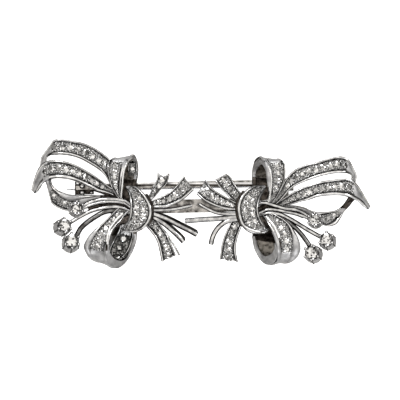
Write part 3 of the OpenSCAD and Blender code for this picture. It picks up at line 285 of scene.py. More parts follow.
RIGHT_WING_LOWER: Rows = (
    (10.8, -0.6, 5.8, 11.0, -1.5, 5.8, 0.0, 0.2, 0.2),
    (12.8, -0.1, 5.7, 13.4, -1.0, 5.7, 0.0, 0.2, 0.2),
    (15.0, 0.2, 5.9, 15.8, -0.6, 5.9, 0.5, 0.2, 0.2),
    (16.6, 1.2, 6.3, 17.8, -0.2, 6.4, 1.0, 0.25, 0.3),
    (18.4, 2.4, 6.7, 19.8, 0.4, 7.0, 1.0, 0.3, 0.4),
    (20.2, 3.3, 7.0, 21.4, 0.8, 7.6, 1.0, 0.35, 0.5),
    (22.2, 4.0, 7.4, 23.0, 1.4, 8.0, 1.0, 0.4, 0.55),
    (24.2, 4.6, 7.6, 24.8, 1.7, 8.2, 1.0, 0.4, 0.6),
    (26.4, 4.9, 7.6, 26.8, 1.8, 8.2, 1.0, 0.4, 0.65),
    (28.4, 5.1, 7.3, 28.6, 1.7, 7.9, 1.0, 0.4, 0.7),
    (30.0, 5.0, 6.8, 30.0, 1.3, 7.4, 1.0, 0.5, 0.8),
    (31.2, 4.1, 6.2, 31.3, 0.6, 6.7, 0.0, 0.8, 0.9),
    (32.2, 2.6, 5.7, 32.3, -0.1, 6.2, 0.0, 0.8, 0.9),
    (33.2, 0.9, 5.3, 33.0, -0.8, 5.7, 0.0, 0.5, 0.7),
    (34.0, -0.5, 5.0, 33.5, -1.1, 5.3, 0.0, 0.3, 0.3),
)
RIGHT_UNDER: Rows = (
    (31.2, 1.2, 6.1, 29.7, 1.5, 6.2, 0.0, 0.3, 0.5),
    (30.5, 0.5, 5.3, 29.0, 0.6, 5.4, 0.0, 0.3, 0.5),
    (29.6, -0.6, 4.8, 28.1, -0.5, 4.9, 0.0, 0.3, 0.5),
    (28.6, -1.7, 4.6, 27.0, -1.2, 4.7, 0.2, 0.3, 0.5),
    (27.9, -3.0, 4.6, 25.6, -1.5, 4.8, 1.0, 0.6, 0.5),
    (27.0, -4.1, 4.8, 24.2, -1.6, 5.0, 1.0, 0.8, 0.6),
    (25.4, -4.5, 5.0, 23.0, -1.6, 5.2, 1.0, 0.5, 0.8),
    (23.6, -3.8, 5.1, 21.6, -1.1, 5.3, 0.0, 0.4, 0.6),
    (21.4, -2.1, 5.1, 20.4, -0.6, 5.3, 0.0, 0.4, 0.4),
    (19.4, -1.2, 5.2, 19.0, -0.3, 5.3, 0.0, 0.3, 0.3),
    (17.4, -0.9, 5.2, 17.4, -0.2, 5.3, 0.0, 0.3, 0.3),
    (15.4, -0.9, 5.3, 15.4, -0.2, 5.3, 0.0, 0.3, 0.3),
    (12.8, -1.0, 5.4, 12.8, -0.3, 5.4, 0.0, 0.3, 0.3),
    (10.6, -1.3, 5.6, 10.6, -0.5, 5.6, 0.0, 0.3, 0.3),
)
RIGHT_TOP_LOOP: Rows = (
    (10.9, -0.9, 6.8, 11.6, -1.5, 6.8, 0.3, 0.2, 0.2),
    (12.4, -0.1, 7.1, 13.3, -0.6, 7.0, 0.3, 0.2, 0.2),
    (13.8, 0.9, 7.5, 14.8, 0.8, 7.3, 0.9, 0.25, 0.2),
    (13.5, 2.4, 8.0, 15.9, 2.7, 7.8, 1.0, 0.7, 0.25),
    (13.2, 4.4, 8.6, 16.7, 4.6, 8.5, 1.0, 1.1, 0.3),
    (13.0, 6.2, 9.0, 16.9, 6.4, 9.0, 1.0, 1.25, 0.3),
    (12.7, 7.7, 9.0, 16.8, 7.9, 8.9, 1.0, 1.1, 0.35),
    (12.3, 8.9, 7.9, 16.2, 8.8, 7.8, 0.2, 0.6, 0.6),
    (11.6, 9.5, 6.0, 15.5, 8.9, 6.0, 0.0, 0.6, 0.6),
    (10.7, 8.8, 3.8, 15.0, 8.3, 3.8, 0.0, 0.6, 0.6),
    (10.3, 7.3, 1.9, 14.9, 7.0, 1.9, 0.0, 0.6, 0.6),
    (10.1, 5.9, 3.0, 14.9, 5.7, 3.0, 0.0, 0.6, 0.6),
    (10.2, 4.5, 4.5, 14.8, 4.2, 4.5, 0.0, 0.6, 0.6),
    (10.3, 2.8, 4.8, 14.4, 2.6, 4.8, 0.0, 0.6, 0.6),
    (10.6, 1.0, 5.2, 13.4, 1.2, 5.2, 0.0, 0.6, 0.6),
)
RIGHT_BOTTOM_LOOP: Rows = (
    (12.2, -1.2, 6.8, 10.8, -1.8, 6.8, 0.0, 0.3, 0.3),
    (14.2, -1.8, 7.2, 12.2, -2.3, 7.3, 1.0, 0.3, 0.3),
    (16.0, -2.7, 7.7, 13.0, -3.5, 8.0, 1.0, 0.35, 0.5),
    (17.6, -3.9, 8.2, 13.9, -5.1, 8.6, 1.0, 0.4, 0.8),
    (18.9, -5.7, 8.5, 14.6, -6.7, 9.0, 1.0, 0.8, 0.9),
    (19.7, -7.5, 8.5, 15.0, -8.2, 9.1, 1.0, 1.3, 0.9),
    (19.9, -9.2, 7.9, 15.1, -9.5, 8.5, 1.0, 1.6, 0.9),
    (19.3, -10.7, 6.6, 15.1, -10.6, 7.1, 0.4, 1.5, 0.9),
    (18.0, -11.7, 5.0, 14.5, -11.6, 5.3, 0.0, 0.9, 1.3),
    (16.8, -11.7, 3.2, 13.3, -12.2, 3.3, 0.0, 0.9, 1.5),
    (16.2, -11.3, 1.5, 11.9, -11.2, 1.5, 0.0, 0.9, 1.2),
    (16.0, -10.3, 0.7, 11.0, -9.7, 0.6, 0.0, 0.9, 0.8),
    (15.9, -8.9, 0.4, 10.5, -8.1, 0.4, 0.0, 0.9, 0.7),
    (15.5, -7.2, 0.9, 10.3, -6.4, 0.9, 0.0, 0.9, 0.7),
    (14.8, -5.4, 2.4, 10.4, -4.8, 2.4, 0.0, 0.6, 0.6),
    (13.8, -3.6, 4.3, 10.4, -3.1, 4.3, 0.0, 0.6, 0.6),
    (13.0, -2.2, 5.2, 10.6, -2.0, 5.2, 0.0, 0.6, 0.6),
)
RIGHT_KNOT: Rows = (
    (13.2, 3.4, 7.6, 12.6, 3.8, 7.6, 0.0, 0.2, 0.2),
    (12.6, 2.6, 8.5, 10.6, 3.7, 8.5, 0.6, 0.35, 0.6),
    (12.0, 1.4, 9.3, 8.9, 2.8, 9.2, 1.0, 0.5, 0.72),
    (11.6, 0.2, 9.8, 7.8, 1.4, 9.6, 1.0, 0.55, 0.74),
    (11.5, -1.0, 10.0, 7.2, -0.4, 9.7, 1.0, 0.55, 0.74),
    (11.7, -2.3, 9.8, 7.4, -2.5, 9.6, 1.0, 0.55, 0.76),
    (12.2, -3.4, 9.3, 8.2, -4.5, 9.2, 1.0, 0.6, 0.84),
    (12.8, -4.3, 8.7, 9.8, -5.8, 8.6, 0.3, 0.6, 1.4),
    (13.3, -4.9, 8.1, 11.7, -6.0, 8.0, 0.0, 0.9, 1.0),
    (13.7, -5.2, 7.6, 13.2, -5.5, 7.6, 0.0, 0.4, 0.4),
)
RIGHT_FORK: Rows = (
    (7.6, 0.2, 6.3, 8.8, 1.0, 6.3, 0.0, 0.2, 0.2),
    (5.9, 1.1, 6.5, 8.0, 2.2, 6.4, 0.8, 0.3, 0.25),
    (4.9, 2.1, 6.7, 7.3, 3.3, 6.5, 1.0, 0.35, 0.3),
    (4.0, 3.0, 6.8, 6.6, 4.3, 6.6, 1.0, 0.35, 0.3),
    (3.2, 4.0, 6.7, 6.0, 5.4, 6.5, 1.0, 0.35, 0.3),
    (2.7, 4.9, 6.4, 5.1, 6.2, 6.2, 0.0, 0.35, 0.3),
)
RIGHT_BROAD: Rows = (
    (8.5, -1.3, 7.1, 8.5, 0.2, 7.0, 0.5, 0.3, 0.3),
    (7.0, -1.2, 7.3, 7.0, 0.4, 7.1, 1.0, 0.35, 0.3),
    (5.4, -1.1, 7.5, 5.6, 1.1, 7.1, 1.0, 0.45, 0.3),
    (3.8, -0.8, 7.6, 4.2, 1.9, 7.2, 1.0, 0.5, 0.35),
    (2.2, -0.2, 7.6, 2.9, 2.7, 7.2, 1.0, 0.55, 0.35),
    (0.5, 0.7, 7.4, 1.8, 3.6, 7.0, 1.0, 0.55, 0.35),
    (-0.9, 2.0, 6.8, 0.9, 5.0, 6.4, 1.0, 0.55, 0.35),
)
RIGHT_LOWER: Rows = (
    (9.2, -2.8, 6.2, 7.4, -2.4, 6.2, 0.0, 0.3, 0.3),
    (8.4, -4.0, 6.4, 6.0, -3.5, 6.4, 0.8, 0.35, 0.35),
    (7.8, -5.4, 6.6, 5.3, -4.9, 6.7, 1.0, 0.4, 0.35),
    (7.3, -6.9, 6.6, 4.6, -6.5, 6.7, 1.0, 0.45, 0.35),
    (7.0, -8.6, 6.4, 4.1, -8.2, 6.5, 1.0, 0.5, 0.35),
    (7.1, -10.1, 6.0, 3.9, -9.7, 6.1, 1.0, 0.5, 0.35),
    (7.4, -11.6, 5.5, 3.7, -11.1, 5.6, 1.0, 0.5, 0.35),
)

# Round wires: stems, plain wires, bright folds of the loops, and dark wires laid in the gaps behind them
# as painted shadow
LEFT_RUNS = (
    WireRun(Kind.STEM, (
        ((-13.0, -1.4, 6.9), (-14.6, 0.3, 7.0), (-16.4, 0.9, 7.2), (-18.2, 1.0, 7.4), (-20.2, 0.9, 7.2),
         (-21.8, 0.5, 6.9), (-23.3, -0.2, 6.7), (-24.4, -0.8, 6.6)),
        ((-13.0, -1.5, 6.8), (-15.0, 0.0, 6.9), (-16.6, 0.4, 7.1), (-18.2, 0.5, 7.2), (-20.2, 0.3, 7.1),
         (-21.8, -0.1, 6.9), (-23.3, -0.7, 6.7), (-24.4, -1.1, 6.6)),
        ((-13.0, -1.8, 6.7), (-14.6, -1.2, 6.8), (-16.2, -0.6, 7.0), (-18.2, -0.6, 7.2),
         (-20.2, -0.9, 7.1), (-22.2, -1.5, 6.9), (-24.2, -2.5, 6.7), (-26.0, -3.6, 6.6),
         (-27.0, -4.2, 6.5)),
        ((-13.0, -2.2, 6.4), (-14.6, -1.7, 6.5), (-15.8, -1.3, 6.6), (-17.8, -1.3, 6.8),
         (-19.6, -1.7, 7.0), (-21.2, -2.6, 6.9), (-22.8, -3.7, 6.8), (-24.0, -4.8, 6.7),
         (-24.7, -6.0, 6.6), (-25.3, -7.2, 6.5)),
    ), (0.4, 0.36, 0.4, 0.52)),
    WireRun(Kind.WIRE, (
        ((-10.6, -1.3, 6.6), (-8.2, -1.2, 6.5), (-6.2, -1.1, 6.2), (-4.2, -0.8, 5.9), (-1.8, -0.3, 5.6)),
        ((-10.6, -1.6, 6.4), (-7.0, -2.9, 6.3), (-4.2, -4.3, 6.0), (-2.2, -5.3, 5.7), (-0.8, -6.1, 5.4)),
        ((-10.6, -2.0, 6.05), (-7.8, -3.6, 6.1), (-6.0, -5.0, 6.0), (-4.4, -6.5, 5.7), (-3.5, -7.5, 5.4)),
        ((-9.2, -3.4, 5.7), (-7.0, -5.8, 5.4), (-5.6, -7.9, 5.2), (-4.3, -10.3, 4.9)),
    ), (0.34, 0.62, 0.58, 0.2)),
    WireRun(Kind.RIDGE, (
        ((-15.6, -1.9, 7.7), (-16.8, -3.0, 8.2), (-17.8, -4.2, 8.7), (-18.4, -5.3, 8.95),
         (-18.7, -6.6, 9.05), (-18.8, -7.6, 9.0)),
        ((-14.4, 8.9, 7.6), (-15.0, 7.8, 8.9), (-15.5, 6.2, 8.9), (-15.8, 3.2, 8.2), (-16.0, 1.2, 7.55)),
    ), (0.3, 0.2)),
    # Dark wires in painted shadow, laid in the gaps
    WireRun(Kind.SHADE, (
        ((-14.8, -0.5, 6.3), (-16.6, -0.1, 6.3), (-18.6, -0.1, 6.3), (-20.6, -0.4, 6.3),
         (-22.6, -1.0, 6.3)),
        ((-15.6, 1.2, 5.7), (-17.0, 1.5, 5.7), (-18.4, 1.9, 5.7), (-19.8, 2.5, 5.6), (-21.4, 3.0, 5.4)),
        ((-18.8, -8.0, 8.95), (-18.85, -8.7, 8.8), (-18.9, -9.3, 8.5)),
        ((-11.0, 2.0, 7.5), (-10.2, 0.8, 7.5), (-9.7, -0.8, 7.5), (-9.7, -2.4, 7.5), (-10.3, -3.9, 7.2)),
        ((-10.4, -1.3, 6.1), (-6.8, -2.5, 6.0), (-4.0, -3.85, 5.7), (-2.0, -4.85, 5.4), (-0.8, -5.5, 5.2)),
        ((-10.4, -1.7, 5.8), (-7.6, -3.3, 5.8), (-5.7, -4.65, 5.7), (-4.1, -6.1, 5.4), (-3.3, -7.0, 5.2)),
    ), (0.45, 0.45, 0.22, 0.25, 0.3, 0.3)),
)
RIGHT_RUNS = (
    WireRun(Kind.STEM, (
        ((10.2, -0.4, 6.9), (11.6, 0.1, 7.0), (13.0, 0.2, 7.2), (15.0, -0.4, 7.4), (17.0, -0.9, 7.2),
         (19.2, -1.2, 7.0), (21.0, -2.1, 6.7), (22.2, -2.9, 6.6)),
        ((10.2, -2.3, 6.7), (11.8, -1.7, 6.8), (13.4, -1.1, 7.0), (15.2, -1.2, 7.1), (17.2, -1.6, 7.0),
         (19.2, -2.0, 6.8), (21.0, -2.6, 6.5), (22.2, -3.3, 6.3)),
        ((10.2, -2.6, 6.4), (12.0, -2.1, 6.6), (13.8, -1.8, 6.9), (15.8, -2.1, 7.1), (17.8, -3.0, 7.0),
         (19.8, -4.2, 6.9), (21.6, -5.3, 6.7), (23.6, -6.4, 6.5), (24.7, -6.9, 6.5)),
        ((10.2, -2.0, 6.2), (12.2, -1.8, 6.3), (14.2, -2.0, 6.5), (16.2, -2.8, 6.7), (18.0, -4.0, 6.8),
         (19.6, -5.5, 6.7), (20.8, -7.0, 6.6), (21.7, -8.4, 6.5), (22.0, -9.5, 6.4)),
    ), (0.4, 0.38, 0.45, 0.48)),
    WireRun(Kind.WIRE, (
        ((8.2, -2.0, 6.6), (5.0, -2.0, 6.5), (3.0, -1.7, 6.3), (1.2, -0.9, 6.0), (-0.3, 0.0, 5.6)),
        ((8.2, -2.5, 6.4), (3.8, -2.9, 6.3), (0.4, -3.1, 6.2), (-3.2, -3.4, 6.0)),
        ((8.2, -2.9, 6.2), (5.6, -3.3, 6.2), (4.1, -4.1, 6.0), (3.0, -5.3, 5.8), (2.3, -6.7, 5.6),
         (2.0, -8.1, 5.4)),
    ), (0.36, 0.52, 0.52)),
    WireRun(Kind.RIDGE, (
        ((13.0, -2.6, 7.8), (13.8, -3.4, 8.3), (14.7, -4.5, 8.75), (15.3, -5.8, 9.0), (15.6, -6.8, 9.05)),
        ((12.8, 8.6, 8.1), (13.5, 7.5, 9.0), (14.0, 5.8, 9.05), (14.05, 3.9, 8.5), (13.8, 1.9, 7.85),
         (13.5, 0.4, 7.35)),
    ), (0.42, 0.22)),
    # Dark wires in painted shadow, laid in the gaps
    WireRun(Kind.SHADE, (
        ((13.0, -0.6, 6.2), (15.0, -0.9, 6.2), (17.0, -1.4, 6.2), (19.0, -1.9, 6.2), (20.6, -2.5, 6.1)),
        ((15.7, -7.3, 8.95), (15.8, -8.0, 8.85), (15.9, -8.7, 8.65)),
        ((8.6, 2.6, 7.5), (7.7, 1.4, 7.5), (7.1, -0.4, 7.5), (7.3, -2.6, 7.5), (8.1, -4.3, 7.2)),
    ), (0.45, 0.24, 0.28)),
)

# Claw collets: rim centre x, y, z, rim radius, and the foot's shift in x and y
LEFT_COLLETS: Rows = (
    (-24.8, -0.8, 8.3, 1.4, -0.3, -0.4),
    (-27.2, -4.2, 8.3, 1.55, -0.9, -0.7),
    (-25.8, -7.3, 8.2, 1.65, -0.4, -0.9),
)
RIGHT_COLLETS: Rows = (
    (22.7, -3.1, 8.3, 1.4, 0.3, -0.4),
    (25.0, -7.0, 8.3, 1.55, 0.5, -0.7),
    (22.1, -9.7, 8.2, 1.65, 0.6, -0.5),
)
# Posts of the back plates: x and y
LEFT_PLATE = ((-14.9, 1.5), (-13.7, 1.9), (-11.4, 0.8), (-10.9, -2.2), (-13.0, -3.8), (-13.9, -1.2))
RIGHT_PLATE = ((12.6, 1.9), (11.2, 1.9), (8.8, 0.8), (8.4, -2.4), (10.6, -3.9), (11.4, -1.2))


# Small helpers


def unit(v: np.ndarray) -> np.ndarray:
    """The vector at length one."""
    return v / np.linalg.norm(v)


def mix(a: float, b: float, part: float) -> float:
    """The value part of the way from a to b."""
    return a + (b - a) * part


def activate(*objs: Object) -> None:
    """Selects these objects alone and makes the first one active."""
    bpy.ops.object.select_all(action="DESELECT")
    for obj in objs:
        obj.select_set(True)
    bpy.context.view_layer.objects.active = objs[0]


class Editing:
    """Edit mode on one object, for a with block."""

    def __init__(self, obj: Object) -> None:
        """Keeps the object that is edited."""
        self.obj = obj

    def __enter__(self) -> None:
        """Enters edit mode with everything selected."""
        activate(self.obj)
        bpy.ops.object.mode_set(mode="EDIT")
        bpy.ops.mesh.select_all(action="SELECT")

    def __exit__(self, *_: object) -> None:
        """Goes back to object mode."""
        bpy.ops.object.mode_set(mode="OBJECT")


def close_ends() -> None:
    """Fills the open ends of the mesh in edit mode and turns its faces outwards."""
    bpy.ops.mesh.remove_doubles(threshold=1e-7)
    bpy.ops.mesh.select_all(action="DESELECT")
    bpy.ops.mesh.select_non_manifold()
    bpy.ops.mesh.fill_holes(sides=0)
    bpy.ops.mesh.select_all(action="SELECT")
    bpy.ops.mesh.normals_make_consistent(inside=False)


def lofted(name: str, rings: np.ndarray, slots: np.ndarray | None = None) -> Object:
    """A closed tube: a grid primitive that is wrapped through rings of points.

    Args:
        name: The piece's name.
        rings: Points in millimetres, as stations by points by three.
        slots: Material slot of each face, as stations less one by points.

    Returns:
        The new object, in metres.
    """
    stations, points, _ = rings.shape
    bpy.ops.object.select_all(action="DESELECT")
    bpy.ops.mesh.primitive_grid_add(x_subdivisions=points, y_subdivisions=stations - 1, size=MM)
    obj = bpy.context.object
    obj.name = obj.data.name = name
    wrapped = np.concatenate([rings, rings[:, :1]], axis=1) * MM
    obj.data.vertices.foreach_set("co", wrapped.reshape(-1))
    if slots is not None:
        obj.data.polygons.foreach_set("material_index", slots.astype(np.int32).reshape(-1))
    with Editing(obj):
        close_ends()
    return obj


def soften(obj: Object, width: float, segments: int = 2, angle: float = 35.0) -> None:
    """Rounds the sharp edges a little and smooths the rest.

    Args:
        obj: The piece.
        width: Width of the rounding in millimetres.
        segments: Faces across the rounding.
        angle: Least angle in degrees of an edge that counts as sharp.
    """
    activate(obj)
    edge = obj.modifiers.new("edge", "BEVEL")
    edge.width = width * MM
    edge.segments = segments
    edge.limit_method = "ANGLE"
    edge.angle_limit = math.radians(angle)
    edge.use_clamp_overlap = True
    bpy.ops.object.modifier_apply(modifier=edge.name)
    bpy.ops.object.shade_smooth_by_angle(angle=math.radians(angle))


def joined(name: str, parts: list[Object]) -> Object:
    """Joins parts to one piece of this name."""
    activate(*parts)
    if len(parts) > 1:
        bpy.ops.object.join()
    parts[0].name = parts[0].data.name = name
    return parts[0]


def set_copies(name: str, pattern: Object, places: list[Matrix]) -> Object:
    """Sets a copy of a pattern at each place and joins them to one object.

    Args:
        name: The new object's name.
        pattern: The piece that is repeated.
        places: A matrix for each copy, in metres.

    Returns:
        The joined object.
    """
    copies = []
    for place in places:
        mesh = pattern.data.copy()
        mesh.transform(place)
        obj = bpy.data.objects.new(name, mesh)
        bpy.context.scene.collection.objects.link(obj)
        copies.append(obj)
    return joined(name, copies)


def dress(piece: Object, *finishes: Material) -> None:
    """Gives a new piece its finishes, one for each slot."""
    for finish in finishes:
        piece.data.materials.append(finish)


def carry(piece: Object, body: str, slot: str, *nodes: str) -> None:
    """Lets a piece ride on a body in the place of CAD nodes, and reports it."""
    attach(piece, body)
    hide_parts(*nodes)
    LOG.info("%s: %d faces", piece.name, len(piece.data.polygons))


def placed(place: np.ndarray, up: np.ndarray, along: np.ndarray, size: float) -> Matrix:
    """The matrix that puts a pattern of unit size at a place.

    Args:
        place: Its origin in millimetres.
        up: The way its Z axis points.
        along: The way its X axis points.
        size: Its size in millimetres.

    Returns:
        The matrix, in metres.
    """
    across = np.cross(up, along)
    m = Matrix.Identity(4)
    for i in range(3):
        m[i][0], m[i][1], m[i][2], m[i][3] = (
            along[i] * size * MM, across[i] * size * MM, up[i] * size * MM, place[i] * MM)
    return m


# Finishes


def linear(hex_colour: str) -> tuple[float, float, float, float]:
    """An sRGB hex colour as linear red, green, blue and alpha."""
    parts = [int(hex_colour[i:i + 2], 16) / 255 for i in (1, 3, 5)]
    r, g, b = [c / 12.92 if c <= 0.04045 else ((c + 0.055) / 1.055) ** 2.4 for c in parts]
    return (r, g, b, 1.0)


def node(tree: NodeTree, kind: str, links: dict | None = None, **settings: object) -> Node:
    """Adds a node with its settings and links.

    Args:
        tree: The node tree.
        kind: The node's type name without its prefix.
        links: What each input takes: an output socket to link, or a value to set.
        settings: The node's own properties.

    Returns:
        The new node.
    """
    n = tree.nodes.new("ShaderNode" + kind)
    for key, value in settings.items():
        setattr(n, key, value)
    for key, value in (links or {}).items():
        if isinstance(value, NodeSocket):
            tree.links.new(value, n.inputs[key])
        else:
            n.inputs[key].default_value = value
    return n


def ramp(tree: NodeTree, value: NodeSocket, *stops: tuple[float, str]) -> NodeSocket:
    """A colour ramp over a value.

    Args:
        tree: The node tree.
        value: The socket that is looked up.
        stops: Position and sRGB hex colour of each stop.

    Returns:
        The ramp's colour output.
    """
    n = node(tree, "ValToRGB", {"Fac": value})
    band = n.color_ramp
    while len(band.elements) < len(stops):
        band.elements.new(0.5)
    for stop, (at, colour) in zip(band.elements, stops):
        stop.position = at
        stop.color = linear(colour)
    return n.outputs["Color"]


def spread(tree: NodeTree, value: NodeSocket, low: float, high: float) -> NodeSocket:
    """A noise value from 0.3 to 0.7 spread over low to high."""
    limits = {"From Min": 0.3, "From Max": 0.7, "To Min": low, "To Max": high}
    return node(tree, "MapRange", {"Value": value, **limits}).outputs[0]


def noise(tree: NodeTree, where: NodeSocket, scale: float, detail: float) -> NodeSocket:
    """The value of a noise of this scale and detail."""
    return node(tree, "TexNoise", {"Vector": where, "Scale": scale, "Detail": detail}).outputs["Fac"]


def product(tree: NodeTree, a: NodeSocket, b: object) -> NodeSocket:
    """Two colours multiplied."""
    return node(tree, "VectorMath", {0: a, 1: b}, operation="MULTIPLY").outputs["Vector"]


def blank(name: str) -> tuple[Material, NodeTree, Node, NodeSocket]:
    """A new material with its shader, and the object's own coordinates in millimetres.

    Args:
        name: The material's name.

    Returns:
        The material, its tree, its shader and the coordinates' socket.
    """
    mat = bpy.data.materials.new(name)
    mat.use_nodes = True
    tree = mat.node_tree
    shader = tree.nodes["Principled BSDF"]
    where = node(tree, "TexCoord").outputs["Object"]
    millimetres = node(tree, "Mapping", {"Vector": where, "Scale": (1000, 1000, 1000)}).outputs["Vector"]
    return mat, tree, shader, millimetres


@dataclass(frozen=True)
class Metal:
    """A hand-finished metal: its colours, its roughness, its soft waviness and its fine scratches.

    The size of its clouds, the length and height of its waves, and the spacing and depth of its scratches
    are in millimetres. Its side shade is a colour of painted shade, multiplied into faces that lean away
    from the front.
    """

    name: str
    light: str
    dark: str
    gloss: tuple[float, float]
    cloud: float
    wave: tuple[float, float]
    scratch: tuple[float, float] = (0.05, 0.0006)
    lengthwise: tuple[float, float, float] = (1.0, 1.0, 1.0)
    painted_side_shade: str = ""
    metallic: float = 1.0

    def material(self) -> Material:
        """Builds the material's nodes."""
        mat, tree, shader, where = blank(self.name)
        colour = ramp(tree, noise(tree, where, 1 / self.cloud, 3.0), (0.35, self.dark), (0.62, self.light))
        # Painted shade: faces tilted partway away from the front take the side shade colour, upright faces
        # turn a little darker, and faces that point straight up keep their colour
        if self.painted_side_shade:
            level = node(tree, "SeparateXYZ", {0: node(tree, "TexCoord").outputs["Normal"]}).outputs["Z"]
            level = node(tree, "Math", {0: level}, operation="ABSOLUTE").outputs[0]
            shade = ramp(tree, level, (0.0, "#E0E0E0"), (0.22, "#C8C8C8"), (0.38, self.painted_side_shade),
                         (0.74, self.painted_side_shade), (0.93, "#FFFFFF"))
            colour = product(tree, colour, shade)
        tree.links.new(colour, shader.inputs["Base Color"])
        drawn = node(tree, "Mapping", {"Vector": where, "Scale": self.lengthwise}).outputs["Vector"]
        scratches = noise(tree, drawn, 1 / self.scratch[0], 2.0)
        tree.links.new(spread(tree, scratches, *self.gloss), shader.inputs["Roughness"])
        waves = noise(tree, where, 1 / self.wave[0], 1.0)
        soft = node(tree, "Bump", {"Height": waves, "Distance": self.wave[1] * MM, "Strength": 1.0})
        fine = node(tree, "Bump", {"Height": scratches, "Distance": self.scratch[1] * MM, "Strength": 1.0,
                                   "Normal": soft.outputs["Normal"]})
        tree.links.new(fine.outputs["Normal"], shader.inputs["Normal"])
        shader.inputs["Metallic"].default_value = self.metallic
        return mat


@dataclass(frozen=True)
class CutDiamond:
    """Colourless diamond that bends light strongly, with painted flashes of white, grey and black in its
    colour.

    Flash size is the width in millimetres of the painted cells of white, grey and black, which stand for the
    pavilion's reflections as they show through the crown, and patches is how many patches of tint a
    millimetre holds, so that neighbours differ.
    """

    name: str
    clear: str
    faint: str
    dark: str
    flash_size: float
    patches: float = 0.62
    ior: float = 2.417

    def material(self) -> Material:
        """Builds the material's nodes."""
        mat, tree, shader, where = blank(self.name)
        tinted = ramp(tree, noise(tree, where, self.patches, 0.0), (0.46, self.clear), (0.56, self.faint))
        # Painted reflection: cells of the colour run from the dark colour to white, standing for the
        # pavilion's flashes
        cells = node(tree, "TexVoronoi", {"Vector": where, "Scale": 1 / self.flash_size}, voronoi_dimensions="3D")
        grey = node(tree, "SeparateXYZ", {"Vector": cells.outputs["Color"]}).outputs["X"]
        painted_flashes = ramp(tree, grey, (0.18, self.dark), (0.42, "#FFFFFF"))
        tree.links.new(product(tree, tinted, painted_flashes), shader.inputs["Base Color"])
        tree.links.new(spread(tree, noise(tree, where, 4.0, 2.0), 0.0, 0.04), shader.inputs["Roughness"])
        shader.inputs["IOR"].default_value = self.ior
        shader.inputs["Transmission Weight"].default_value = 1.0
        shader.inputs["Metallic"].default_value = 0.8
        return mat


